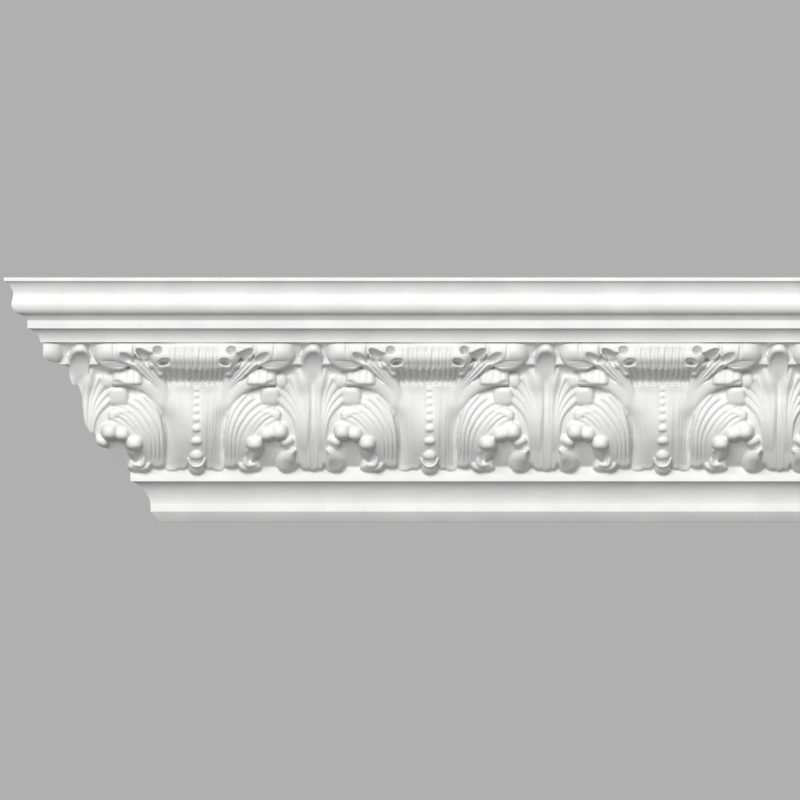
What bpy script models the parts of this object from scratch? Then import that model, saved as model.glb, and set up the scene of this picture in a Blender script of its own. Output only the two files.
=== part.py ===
"""A length of cornice moulding with a carved acanthus band, cast in one piece.

The section is drawn from its lowest edge upwards, and projection is measured out from the wall. The left
end is mitred at 45 degrees for an outside corner and the right end is cut square. The carving is a relief
seen from the front: its depth is worked out on a panel of half a repeat, which is mirrored and repeated along
the band.
"""

from dataclasses import dataclass

import bmesh
import bpy
import numpy as np
from mathutils import Vector

# Driving dimensions, in metres
WALL_LENGTH = 0.4418  # along the wall, from the mitre to the square end
FOOT_DEPTH = 0.0060  # flat underside, from the wall to the lowest front edge
CHAMFER_RISE, CHAMFER_REACH = 0.0073, 0.0069
LISTEL_RISE = 0.0050
LOWER_COVE_RISE, LOWER_COVE_REACH = 0.0161, 0.0141
LOWER_FILLET_RISE = 0.0080
BAND_RISE, BAND_REACH = 0.0896, 0.0630
UPPER_COVE_RISE, UPPER_COVE_REACH = 0.0095, 0.0091
UPPER_FILLET_RISE = 0.0057
CREASE_RISE, CREASE_REACH = 0.0041, 0.0043
OVOLO_RISE, OVOLO_REACH = 0.0071, 0.0069
NECK_RISE, NECK_SET_BACK = 0.0072, 0.0013
CROWN_COVE_RISE, CROWN_COVE_REACH = 0.0090, 0.0066
TOP_FILLET_RISE = 0.0026
WALL_LAND = 0.0800  # height of the face that is glued to the wall
CEILING_LAND = 0.0520  # depth of the face that is glued to the ceiling
ORIGIN_RISE = 0.0400  # height of the origin on the wall face, above the lowest edge
REPEAT = 0.1631  # one acanthus leaf and one tongue leaf
MITRE_PLACE = 0.284  # repeats from the mitre, at the band's foot, to the first leaf's axis
GRID_STEP = 1.0  # squares between points of the fine grid, before it is thinned
TRIANGLES_PER_REPEAT = 2450
CURVE_FLATS = 6  # flats in each cove and in the ovolo
COVE_POWER = 1.6  # the coves are a little flatter than a quarter of an ellipse
OVOLO_POWER = 2.0
SMOOTH_ANGLE = 0.6  # radians; sharper edges stay sharp when shaded
MARGIN = 0.004  # how far the uncut block runs past its ends
CRUMB_SLOPE = 0.5  # beyond the mitre the carving rises no faster than this, where the saw's plane rises by 1

Place = tuple[float, float]
Stations = tuple[tuple[float, ...], ...]
Guide = tuple[Place, ...]

# The carving is laid out in squares: 233 to a repeat, 128 up the band and 90 out from its foot to its head
SQUARES_ALONG = 233.0
SQUARES_UP = 128.0
SQUARES_OUT = 90.0
HALF = SQUARES_ALONG / 2
OVERHANG = 6.0
FAR_BEHIND = -1000.0


def ease(t):
    """A smooth step from 0 to 1 as t goes from 0 to 1."""
    t = np.clip(t, 0, 1)
    return t * t * (3 - 2 * t)


def through(at, places, values):
    """Reads a smooth curve that passes through (place, value) pairs."""
    x = np.asarray(places, float)
    y = np.asarray(values, float)
    slope = np.gradient(y, x)
    i = np.clip(np.searchsorted(x, at, side="right") - 1, 0, len(x) - 2)
    run = x[i + 1] - x[i]
    t = np.clip((at - x[i]) / run, 0, 1)
    return y[i] + (y[i + 1] - y[i]) * ease(t) + run * t * (1 - t) * (slope[i] * (1 - t) - slope[i + 1] * t)


def leaf_depth(height):
    """How far the acanthus leaf's own surface stands out at a height up the band."""
    heights = (-6, 0, 5, 10, 15, 20, 25, 30, 35, 40, 45, 50, 60, 70, 78, 85, 90, 94)
    depths = (3, 6, 10, 16, 22, 27.5, 32.5, 37, 40.5, 43.3, 45.5, 47, 48.3, 49, 50, 52.5, 56, 60)
    return through(np.asarray(height, float), heights, depths)


def ground_depth(height):
    """How far the plain hollow ground behind the leaves stands out at a height up the band."""
    heights = (-6, 0, 2.6, 6, 14, 22.3, 28, 33, 45, 55, 65, 78, 92, 98, 104, 114, 122, 128)
    depths = (0, 0, 0, 4.5, 14.5, 24, 29.5, 33, 39, 42, 44, 46, 49, 55, 63, 67.5, 74, 85)
    return through(np.asarray(height, float), heights, depths)


def smooth_line(stations, step=0.7):
    """Draws a smooth curve through stations."""
    p = np.asarray(stations, float)
    p = np.vstack([2 * p[0] - p[1], p, 2 * p[-1] - p[-2]])
    pieces = []
    for before, start, end, after in zip(p, p[1:], p[2:], p[3:]):
        count = max(2, int(np.hypot(*(end - start)[:2]) / step))
        t = np.linspace(0, 1, count, endpoint=False)[:, None]
        line = 2 * start + (end - before) * t
        square = 2 * before - 5 * start + 4 * end - after
        cube = 3 * start - 3 * end + after - before
        pieces.append(0.5 * (line + square * t**2 + cube * t**3))
    pieces.append(p[-2][None])
    return np.vstack(pieces)


def run_along(points):
    """The distance run to each point of a row of points."""
    steps = np.hypot(*np.diff(points[:, :2], axis=0).T)
    return np.concatenate([[0.0], np.cumsum(steps)])


def evenly(stations, count):
    """Spaces points evenly along a guide line."""
    line = smooth_line(stations, 1.0)
    run = run_along(line)
    at = np.linspace(0, run[-1], count)
    return np.stack([np.interp(at, run, line[:, 0]), np.interp(at, run, line[:, 1])], 1)


def turned(x, y, angle):
    """Reads offsets in axes that are turned by an angle."""
    c = np.cos(np.radians(angle))
    s = np.sin(np.radians(angle))
    return c * x + s * y, c * y - s * x


def blurred(values, spread):
    """Softens a grid of values."""
    reach = int(3 * spread + 1)
    kernel = np.exp(-(np.arange(-reach, reach + 1) ** 2) / (2 * spread**2))
    kernel /= kernel.sum()
    padded = np.pad(values, reach, mode="edge")
    rows = np.apply_along_axis(lambda row: np.convolve(row, kernel, "valid"), 1, padded)
    return np.apply_along_axis(lambda column: np.convolve(column, kernel, "valid"), 0, rows)


class Panel:
    """The relief of half a repeat, from an acanthus leaf's axis to a tongue leaf's, as depth over a grid."""

    def __init__(self, step):
        """Lays out the plain ground."""
        self.along = np.linspace(0, HALF, round(HALF / step) + 1)
        self.up = np.linspace(-OVERHANG, SQUARES_UP, round((OVERHANG + SQUARES_UP) / step) + 1)
        self.x, self.y = np.meshgrid(self.along, self.up)
        self.depth = ground_depth(self.y)

    def window(self, x_low, x_high, y_low, y_high):
        """Finds the part of the grid that a rectangle covers."""
        rows = np.searchsorted(self.up, [y_low, y_high])
        columns = np.searchsorted(self.along, [x_low, x_high])
        return slice(*rows), slice(*columns)

    def near_line(self, stations, reach):
        """Finds where the grid's points lie beside a line."""
        line = smooth_line(stations)
        xs = line[:, 0]
        ys = line[:, 1]
        window = self.window(xs.min() - reach, xs.max() + reach, ys.min() - reach, ys.max() + reach)
        points = np.stack([self.x[window].ravel(), self.y[window].ravel()], 1)
        nearest = np.full(len(points), np.inf)
        index = np.zeros(len(points), int)
        part, side, past = np.zeros((3, len(points)))
        last = len(line) - 2
        for k, (start, end) in enumerate(zip(line[:-1, :2], line[1:, :2])):
            way = end - start
            length = np.hypot(*way)
            off = points - start
            t = off @ way / length**2
            inside = np.clip(t, 0, 1)
            gap = ((off - inside[:, None] * way) ** 2).sum(1)
            closer = gap < nearest
            nearest[closer] = gap[closer]
            index[closer] = k
            part[closer] = inside[closer]
            side[closer] = np.sign(way[0] * off[closer, 1] - way[1] * off[closer, 0])
            before = np.minimum(t[closer], 0) if k == 0 else 0
            after = np.maximum(t[closer] - 1, 0) if k == last else 0
            past[closer] = (before + after) * length
        columns = line[index] + part[:, None] * (line[index + 1] - line[index])
        offset = np.sqrt(np.maximum(nearest - past**2, 0)) * side
        shape = self.x[window].shape
        return window, columns.T.reshape(-1, *shape), offset.reshape(shape), past.reshape(shape)

    def lay(self, window, surface, fillet):
        """Puts a surface over what is there."""
        there = self.depth[window]
        bridge = np.clip(fillet - np.abs(there - surface), 0, None) ** 2 / (4 * fillet) if fillet else 0.0
        self.depth[window] = np.maximum(there, surface) + bridge

    def blade(self, stations, crown, power=2.0, fillet=0.0):
        """Lays a leaf blade with rounded ends."""
        widest = max(station[2] for station in stations)
        window, columns, offset, past = self.near_line(stations, widest + 2)
        half = np.maximum(columns[2], 0.3)
        u = offset / half
        end = np.abs(past) / half
        surface = columns[3] - crown * np.abs(u) ** power - 0.9 * crown * end**2
        self.lay(window, np.where(np.hypot(u, end) > 1, FAR_BEHIND, surface), fillet)

    def rib(self, guides, lifts, crown, power=2.4, overlap=0.25, count=9):
        """Lays a rib of the leaf between two guide lines."""
        one, other = (evenly(guide, count) for guide in guides)
        middle = (one + other) / 2
        half = np.hypot(*(one - other).T) / 2 + overlap
        lift = lifts[0] + (lifts[1] - lifts[0]) * np.linspace(0, 1, count) ** 2
        crest = leaf_depth(np.minimum(middle[:, 1], 88.0)) + lift
        self.blade(np.column_stack([middle, half, crest]), crown, power)

    def lump(self, middle, half, depth, fall, turn=0.0, power=2.0, tilt=0.0, fillet=0.0):
        """Lays a rounded lump."""
        reach = max(half) + 1
        window = self.window(middle[0] - reach, middle[0] + reach, middle[1] - reach, middle[1] + reach)
        p, q = turned(self.x[window] - middle[0], self.y[window] - middle[1], turn)
        r = np.abs(p / half[0]) ** power + np.abs(q / half[1]) ** power
        dome = depth - fall * (1 - np.sqrt(np.clip(1 - r, 0, None))) + tilt * q / half[1]
        self.lay(window, np.where(r < 1, dome, FAR_BEHIND), fillet)

    def hollow(self, middle, half, depth, turn=0.0, power=1.5, under=0.0):
        """Sinks a rounded hollow into what is there."""
        reach = max(half) + 1
        window = self.window(middle[0] - reach, middle[0] + reach, middle[1] - reach, middle[1] + reach)
        p, q = turned(self.x[window] - middle[0], self.y[window] - middle[1], turn)
        r = np.clip((p / half[0]) ** 2 + (q / half[1]) ** 2, 0, 1)
        self.depth[window] -= depth * (1 - r) ** power * (1 - under * np.clip(q / half[1], -1, 1))

    def groove(self, stations, width, depth):
        """Cuts a soft groove, or raises a ridge where the depth is negative."""
        window, columns, offset, past = self.near_line(stations, width + 1)
        self.depth[window] -= depth * columns[2] * ease(1 - np.hypot(offset, past) / width)


# Valleys between the ribs of the side leaf, from its root up and out to its tips
SIDE_GUIDES: tuple[Guide, ...] = (
    ((25.0, -2), (26.0, 14), (26.8, 30), (28.5, 46), (32.0, 58), (37, 70), (43, 80)),
    ((30.0, -2), (30.0, 15), (30.2, 33), (31.8, 45), (35.0, 57), (40.0, 66), (47, 76)),
    ((34.0, -2), (34.0, 15), (34.4, 35), (37.0, 47.5), (41.5, 59), (47.5, 67), (54, 74)),
    ((38.0, -2), (38.0, 15), (38.4, 33), (41.5, 46), (48, 58), (54.5, 66), (61, 71)),
    ((42.0, -2), (41.8, 15), (42.2, 31), (45.8, 42.5), (54, 54.5), (62, 62), (69, 66)),
    ((46.0, -2), (46.0, 12), (47, 29), (50.5, 38.5), (57, 48.5), (66.5, 57.5), (77, 62)),
    ((50.5, 18), (52, 27), (54.5, 37), (60.5, 45.8), (68.5, 53.5), (80, 59.3)),
    ((55, 24), (58.5, 35), (64.5, 43), (73, 50.8), (83, 55.8)),
    ((60, 27), (66, 37), (74, 44.5), (84, 50)),
)
# How far each of those ribs stands out from the leaf's surface, at its root and at its tip
SIDE_LIFTS = ((-16.0, 1.0), (-1.0, 1.8), (0.6, 1.4), (0.8, 0.6), (0.8, 0.4), (0.6, 0.8), (0.6, 1.6),
              (0.6, 1.2))
# Valleys between the ribs of the tongue leaf, from its stem to its edge, counted along from its own axis
FAN_GUIDES: tuple[Guide, ...] = (
    ((4.5, -5), (5.0, 20), (5.0, 43), (3.8, 62), (4.5, 80), (7.0, 96)),
    ((8.5, -5), (7.6, 25), (7.4, 43), (7.4, 62), (9.6, 82), (15.5, 107)),
    ((10.6, -5), (9.2, 25), (8.8, 43), (9.8, 62), (13.5, 82), (18, 95)),
    ((12.2, -5), (10.6, 25), (10.2, 43), (12.0, 60), (17, 77), (24, 90)),
    ((13.8, -5), (12.0, 25), (11.8, 43), (14.5, 58), (21, 72), (29, 82.5)),
    ((15.4, -5), (13.5, 25), (13.5, 43), (17.0, 56), (25, 68), (34.5, 77)),
    ((17.5, -5), (15.5, 25), (16, 43), (20.5, 54), (29, 63), (36, 70)),
)
# Beads on the acanthus leaf's axis: height up the band, half width and half height
BEADS = (
    (81.5, 3.6, 3.2),
    (74.6, 3.8, 3.3),
    (67.3, 4.1, 3.5),
    (59.5, 4.4, 3.7),
    (51.5, 4.8, 3.9),
    (42.2, 5.6, 4.4),
    (30.2, 7.0, 5.0),
    (17.2, 7.9, 7.6),
)
# Lobes along the lower edge: middle, half width and lowest point
EDGE_LOBES = (
    (0, 8, -4.8),
    (14, 4.5, 0.2),
    (23, 7, -1.2),
    (36, 5, 1.6),
    (56, 12, -2.2),
    (93, 9, -2.6),
    (110, 4.5, -0.6),
    (HALF, 4, -1.7),
)


@dataclass(frozen=True)
class TongueLeaf:
    """The upright leaf between two acanthus leaves: a fan of ribs, a stem and a spoon tip that leans out."""

    rib_crown: float = 6.0
    root_lift: float = -2.5
    tip_lifts: Place = (7.0, 2.5)
    seam_depth: float = 1.0

    def carve(self, panel):
        """Carves half of the leaf."""
        b = HALF
        panel.blade([(b - 11, -6, 14, 1), (b - 11, 20, 14, 24.5), (b - 12, 42, 15, 38.5),
                     (b - 16, 58, 17, 44.5), (b - 22, 72, 17, 45.5)], crown=2)
        for inner, outer in reversed(list(zip(FAN_GUIDES, FAN_GUIDES[1:]))):
            guides = tuple([(b - x, y) for x, y in guide] for guide in (inner, outer))
            tip = self.tip_lifts[0] if inner is FAN_GUIDES[0] else self.tip_lifts[1]
            panel.rib(guides, (self.root_lift, tip), crown=self.rib_crown, overlap=0.3)
        self.carve_spoon(panel, b)

    def carve_spoon(self, panel, b):
        """Carves the stem and its hollow tip with a rolled rim."""
        panel.blade([(b, -6, 4.6, 1), (b, 20, 4.8, 24.5), (b, 40, 4.6, 39.5), (b, 60, 4.4, 46.5),
                     (b, 74, 5, 48.5), (b, 86, 7, 53), (b, 96, 9, 60), (b, 104, 10.2, 66), (b, 110, 9.8, 72),
                     (b, 114, 8.6, 77.5), (b, 118, 7.0, 84.5)], crown=-1.5, power=2, fillet=3.5)
        panel.blade([(b - 9.2, 103, 1.0, 66.5), (b - 9.0, 108, 1.6, 72.5), (b - 8.2, 113, 2.4, 79.5),
                     (b - 6.4, 117.4, 3.4, 85.0), (b - 3.4, 120.4, 4.4, 88.6), (b, 121.4, 4.8, 89.6),
                     (b + 3.4, 120.4, 4.4, 88.6)], crown=4.5, power=2.4, fillet=3)
        panel.groove([(b - 1.6, 92, 0.2), (b - 1.4, 60, 1), (b - 1.8, 30, 1), (b - 2, 2, 0.6)], 1.8,
                     self.seam_depth)


@dataclass(frozen=True)
class SideLeaf:
    """The outer half of the acanthus leaf: ribs that fan out to a third tier of tips."""

    rib_crown: float = 4.6

    def carve(self, panel):
        """Carves the leaf's body, its third tier and its ribs."""
        panel.hollow((27, 24), (8, 44), 12, power=0.7)
        panel.blade([(43, -6, 13, 2), (43, 20, 13, 24.5), (48, 40, 16, 40.5), (54, 56, 18, 46),
                     (62, 72, 20, 46.5)],
                    crown=2, fillet=1.5)
        panel.blade([(42, 58, 5, 47), (50, 68, 8, 48.5), (60, 75, 9, 49), (70, 76, 9, 49)], crown=2,
                    fillet=1.5)
        for guides, lifts in reversed(list(zip(zip(SIDE_GUIDES, SIDE_GUIDES[1:]), SIDE_LIFTS))):
            panel.rib(guides, lifts, crown=self.rib_crown)
        panel.blade([(68, 58.5, 2.8, 48.6), (75, 58.3, 3.6, 49.6), (81.5, 56, 5, 49.8)], crown=2.4, power=3,
                    fillet=1)
        panel.lump((75.6, 73.4), (10.0, 9.8), 54.5, 9.0, power=4.4, tilt=4.2, fillet=2.5)
        panel.hollow((60.5, 81.0), (14, 9.0), 6.0, turn=20)


@dataclass(frozen=True)
class LowerScroll:
    """The lobes that curl round the cave at the foot of the side leaf."""

    vein_height: float = 1.2

    def carve(self, panel):
        """Carves the three lobes, the tip beside the tongue leaf, and the foot."""
        panel.blade([(60, 36, 5, 41.0), (70, 42, 6.5, 45.0), (80, 46, 6.5, 46.5)], crown=3, fillet=1.5)
        panel.lump((93.2, 28.8), (7.8, 5.2), 38.5, 10, turn=28, power=2.4, tilt=1.5, fillet=0.8)
        panel.lump((85.0, 39.0), (8.8, 8.8), 51.5, 15, power=2.5, fillet=3)
        panel.lump((72.5, 36.4), (7.6, 6.8), 48.5, 11, power=2.5, fillet=4)
        panel.lump((60.3, 27.2), (8.8, 7.4), 45.0, 13, power=2.5, fillet=2)
        panel.blade([(60.3, 25, 8, 41.5), (60, 18, 6, 32), (58.6, 12, 3.6, 22.5), (58, 9, 2, 18)], crown=6,
                    fillet=1)
        self.carve_foot(panel)

    def carve_foot(self, panel):
        """Carves the teardrop, the hook and its base, and the thin veins in the cave."""
        panel.blade([(91, -3, 8.2, 6), (91, 4, 8.8, 15), (92.5, 11, 8.2, 25), (96, 16.5, 5, 31),
                     (99, 19, 2.6, 33)],
                    crown=6, power=2.4, fillet=0.5)
        panel.blade([(56, -3, 11, 4.5), (56, 3, 11, 12.5), (56, 7, 9, 14)], crown=5)
        panel.blade([(50.8, 13, 1.4, 21), (51.2, 8.6, 2.6, 19.5), (53.8, 5.4, 3.2, 17.5), (60, 5.6, 2.4, 15)],
                    crown=3)
        for foot, head in ((64, 65), (67, 67.5), (77, 81), (80.5, 84)):
            middle = (foot + head) / 2
            panel.groove([(foot, 4, 0.3), (middle, 12, 1), (head, 20, 0.4)], 1.3, -self.vein_height)


@dataclass(frozen=True)
class SecondTier:
    """The blunt tips below the top curl."""

    crease_depths: tuple[float, ...] = (1.3, 1.0, 0.8)

    def carve(self, panel):
        """Carves the broad tip, its creases and the small lobes beside it."""
        panel.blade([(32, 54, 3.0, 38), (33, 64, 5.0, 48.0), (37.5, 75, 7.5, 52.5), (46.5, 85, 8.6, 57.5),
                     (57, 91, 9, 61.5), (67, 93.4, 8.8, 63)], crown=3.5, power=2.8, fillet=1.5)
        panel.lump((66.8, 93.9), (16.2, 9.8), 65.0, 15.0, power=7.0, tilt=-0.8, fillet=1.0)
        panel.hollow((76.5, 87.0), (7, 3.5), 4.0, turn=15)
        for along, depth in zip((59.5, 66.5, 74.5), self.crease_depths):
            panel.groove([(along - 1, 103, 0.3), (along, 97, 1), (along - 0.5, 88, 0.5)], 2.2, depth)
        panel.lump((87.0, 89.3), (6.6, 8.4), 58.8, 9, power=2.8, tilt=2.5, fillet=0.8)
        panel.lump((95.2, 98.6), (6.0, 3.6), 56, 7, power=2.4, tilt=2.0, fillet=0.8)
        panel.lump((98.6, 104.5), (3.4, 3.4), 60, 6, power=2.4, tilt=1.0)


@dataclass(frozen=True)
class TopCurl:
    """Strands that rise beside the middle leaf and turn over into a thick curl under the upper cove."""

    strands: int = 4
    strand_spacing: float = 3.2
    strand_depth: float = 2.8
    folds: int = 3
    fold_depth: float = 2.2
    end_start: float = 85.0
    end_length: float = 16.5
    ledge_middle: float = 100.0
    ledge_half: float = 6.0
    ledge_foot: float = 104.6

    def carve(self, panel):
        """Carves the body, the hoods, the ball and the strands."""
        panel.blade([(24, 60, 4, 44), (29, 74, 5.5, 50.5), (35.5, 87, 6.5, 58), (44, 98, 7.2, 67),
                     (53, 105.5, 8, 74.5), (62, 111, 8.5, 79)], crown=2.5, power=2.6, fillet=2)
        panel.blade([(34, 98, 4.0, 71), (38, 107, 5.0, 78), (42, 116, 5.0, 80)], crown=3, fillet=2)
        panel.lump((42.5, 108), (6, 7), 76, 7, power=2.4, fillet=3)
        self.carve_shelf(panel)
        panel.lump((67.2, 119.6), (7.8, 9.4), 89.0, 12, power=2.6, fillet=2)
        panel.hollow((66.5, 111.8), (9.5, 4.4), 9.0, turn=30, power=0.8, under=0.7)
        panel.lump((52.2, 119.4), (9.8, 9.2), 88.0, 12, turn=15, power=2.6)
        panel.hollow((48.3, 114.0), (12.2, 4.9), 15.0, turn=33, power=0.7, under=0.8)
        for k in range(self.strands):
            self.carve_strand(panel, k * self.strand_spacing)
        panel.groove([(60.0, 126, 0.3), (60.2, 119, 1), (58.5, 112, 1), (54, 106.5, 0.4)], 2.6, 4.0)
        panel.groove([(80.5, 128, 0.4), (80.5, 121, 0.9), (79.5, 114.5, 0.6), (77, 108, 0.2)], 2.6, 3.0)
        for k in range(self.folds):
            panel.groove([(95 - 5 * k, 108.5 - 2.6 * k, 0.1), (82 - 4 * k, 108.5 - 2.6 * k, 0.8),
                          (70 - 4 * k, 106.5 - 2.4 * k, 1), (60 - 3 * k, 102.5 - 2.2 * k, 0.7)], 1.8,
                         self.fold_depth)

    def carve_shelf(self, panel):
        """Carves the thick body of the curl, whose underside slopes back to the leaf, and the ledge at its end."""
        depth = through(panel.y, (96, 99.5, 104, 109, 113, 117, 122, 126, 128.5),
                        (60, 71, 77.0, 82.5, 86.8, 89.0, 89.4, 88, 82))
        foot = through(panel.x, (58, 62, 66, 70, 74, 80, 86, 92, 97, 102),
                       (117, 109.5, 104, 101.5, 100, 99.4, 100.6, 103.6, 108, 116))
        end = np.clip((panel.x - self.end_start) / self.end_length, 0, 1)
        rounded = 17 * (1 - np.sqrt(1 - end**2.3))
        everywhere = (slice(None), slice(None))
        ledge = through(panel.y, (104, 108, 113, 121, 128), (70.4, 71, 72, 78.5, 85))
        beside = (np.abs(panel.x - self.ledge_middle) < self.ledge_half) & (panel.y > self.ledge_foot)
        panel.lay(everywhere, np.where(beside, ledge, FAR_BEHIND), 1)
        panel.lay(everywhere, np.where((end < 1) & (panel.y > foot), depth - rounded, FAR_BEHIND), 1.5)

    def carve_strand(self, panel, s):
        """Cuts the valley beside one strand."""
        panel.groove([(28.5 + 0.5 * s, 76, 0.0), (35.3 + 0.75 * s, 90.0 - 0.3 * s, 0.7),
                      (39.5 + 0.9 * s, 95.5 - 0.5 * s, 1.0), (45.5 + s, 103.6 - 0.7 * s, 1.3),
                      (52.6 + 1.1 * s, 111.8 - 0.75 * s, 1.2), (58 + 1.2 * s, 119 - 0.85 * s, 0.4)], 1.6,
                     self.strand_depth)


@dataclass(frozen=True)
class MiddleLeaf:
    """The inner half of the acanthus leaf: its tip turns forward into a fluted roll, with beads below."""

    edge_power: float = 2.3
    flutes: int = 12
    flute_depth: float = 8.0
    roll_grooves: tuple[float, ...] = (3.0, 6.6, 10.4, 14.2, 18.4, 23.0)
    roll_groove_depth: float = 2.8
    veins: Stations = ((6.8, 1.8, 0.9), (11.5, 4.0, 1.6), (14.5, 1.6, 0.9), (18, 2.0, 1.2), (21.5, 1.8, 1.2),
                       (25, 2, 1.4))

    def carve(self, panel):
        """Carves the leaf's middle, its roll and its beads."""
        half = through(panel.y, (-6, 20, 45, 60, 72, 86, 90), (31, 31, 31.5, 33, 35, 37, 38))
        fall = through(panel.y, (-6, 5, 20, 40, 50, 62, 90), (2, 8, 18, 22, 16, 4, 3))
        u = panel.x / half
        scallop = 2.0 * (2 * ((u * self.flutes / 2) % 1) - 1) ** 2
        surface = leaf_depth(np.minimum(panel.y, 88)) - fall * np.abs(u) ** self.edge_power
        everywhere = (slice(None), slice(None))
        panel.lay(everywhere, np.where((u < 1) & (panel.y < 85 + scallop), surface, FAR_BEHIND), 1.5)
        self.carve_roll(panel)
        for along, width, depth in self.veins:
            vein = [(along, 2, 0.6), (along, 25, 1), (along + 0.5, 50, 0.7), (along + 2, 78, 0.3)]
            panel.groove(vein, width, depth)
        self.carve_beads(panel)

    def carve_roll(self, panel):
        """Carves the fluted underside, the roll and its two scroll ends."""
        half = through(panel.y, (80, 86, 92, 98, 104, 110), (27, 31, 33.5, 35, 37, 38))
        u = panel.x / half
        depth = through(panel.y, (80, 85, 90, 94, 98, 101, 104, 108), (34, 42.5, 53, 62, 71.5, 78, 81.5, 84))
        across = 2 * ((u * self.flutes / 2) % 1) - 1
        flute = self.flute_depth * ease((103 - panel.y) / 6) * across**2
        everywhere = (slice(None), slice(None))
        inside = (u < 1) & (panel.y > 82) & (panel.y < 108)
        panel.lay(everywhere, np.where(inside, depth - flute, FAR_BEHIND), 0)
        panel.blade([(-33, 115.6, 12.2, 89.8), (33, 115.6, 12.2, 89.8)], crown=11, power=2.3)
        for x, share in zip(self.roll_grooves, (1.0, 0.5, 1.0, 0.5, 0.9, 0.4)):
            line = [(0.96 * x, 102, share), (x, 110, share), (x + 0.6, 117, share), (x + 0.4, 124, 0)]
            panel.groove(line, 2.2, self.roll_groove_depth)
        panel.lump((35.3, 116.5), (8.0, 10.6), 89.8, 14, turn=12, power=2.4, fillet=1)
        panel.lump((29.5, 106.8), (8.5, 6.0), 84, 10, turn=8, power=2.3, fillet=1)
        panel.hollow((37.0, 119.8), (4.4, 4.2), 15, power=0.6, under=0.6)
        panel.hollow((30.6, 108.0), (6.0, 3.6), 17, turn=-14, power=0.6, under=0.6)

    def carve_beads(self, panel):
        """Carves the channel along the axis, the beads in it and the cup under the last one."""
        panel.groove([(0, 4, 1), (0, 40, 0.8), (0, 86, 0.6)], 7, 2.6)
        for height, half_x, half_y in BEADS:
            size = half_x / BEADS[-1][1]
            crest = float(leaf_depth(height)) + 3.2 * size - 1.6
            panel.lump((0, height), (half_x, half_y), crest, 8 * size**1.4, power=2.3)
        panel.blade([(0, -5, 7, 6), (0, 2, 7.6, 14)], crown=4)
        panel.blade([(8.0, 11, 1.2, 19.5), (6.8, 7.4, 1.6, 18), (4.0, 4.6, 1.8, 17), (0, 3.6, 1.8, 17.5),
                     (-4, 4.6, 1.8, 17)], crown=2)


@dataclass(frozen=True)
class LowerEdge:
    """The scalloped line along which the leaves end on the fillet."""

    height: float = 2.8
    rounding: float = 3.0
    soft_rounding: float = 5.5
    lobe_power: float = 2.5
    deepest: float = 8.0

    def carve(self, panel):
        """Cuts the leaves off along the line and rounds them back to the fillet."""
        edge = np.full_like(panel.x, self.height)
        rounding = np.full_like(panel.x, self.soft_rounding)
        for middle, half, lowest in EDGE_LOBES:
            r = np.clip(np.abs(panel.x - middle) / half, 0, 1)
            lobe = np.sqrt(1 - r**self.lobe_power)
            edge = np.minimum(edge, self.height - (self.height - lowest) * lobe)
            rounding = np.minimum(rounding, self.soft_rounding - (self.soft_rounding - self.rounding) * lobe)
        k = np.clip((panel.y - edge) / rounding, 0, 1)
        panel.depth = np.maximum(panel.depth, -self.deepest) * np.sqrt(1 - (1 - k) ** 2)


@dataclass(frozen=True)
class Carving:
    """The whole relief, which any place on the band can be looked up in."""

    step: float = 0.6
    softness: float = 0.45
    lean: float = 2.2

    def panel(self):
        """Carves the forms over each other, from the back to the front."""
        panel = Panel(self.step)
        forms = (TongueLeaf(), SideLeaf(), LowerScroll(), SecondTier(), TopCurl(), MiddleLeaf(), LowerEdge())
        for form in forms:
            form.carve(panel)
        panel.depth = blurred(np.minimum(panel.depth, SQUARES_OUT), self.softness / self.step)
        panel.depth[0] = 0.0
        panel.depth[-1] = SQUARES_OUT
        return panel

    def leaned(self, squares):
        """Folds places along the band onto the panel, with the slight lean that a leaf's halves have."""
        from_axis = (squares + HALF) % SQUARES_ALONG - HALF
        place = np.abs(from_axis)
        push = ease((place - 6) / 24) * ease((HALF - 4 - place) / 14)
        return np.clip(place + self.lean * push * np.sign(from_axis), 0, HALF)


def quarter_curve(start, end, power, hollow):
    """Points after start, of (projection, height), on a cove that is hollow or an ovolo that isn't."""
    points = []
    for k in range(1, CURVE_FLATS + 1):
        angle = np.pi / 2 * k / CURVE_FLATS
        rise = np.sin(angle) ** (2 / power)
        reach = 1 - np.cos(angle) ** (2 / power)
        if not hollow:
            rise, reach = 1 - np.cos(angle) ** (2 / power), np.sin(angle) ** (2 / power)
        points.append((start[0] + (end[0] - start[0]) * reach, start[1] + (end[1] - start[1]) * rise))
    return points


def section_below():
    """The section from the wall up to the head of the lower fillet, as (projection, height)."""
    points = [(0.0, 0.0), (FOOT_DEPTH, 0.0)]
    points.append((FOOT_DEPTH + CHAMFER_REACH, CHAMFER_RISE))
    points.append((points[-1][0], points[-1][1] + LISTEL_RISE))
    start = points[-1]
    head = (start[0] + LOWER_COVE_REACH, start[1] + LOWER_COVE_RISE)
    points += quarter_curve(start, head, COVE_POWER, hollow=True)
    points.append((head[0], head[1] + LOWER_FILLET_RISE))
    return points


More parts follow.
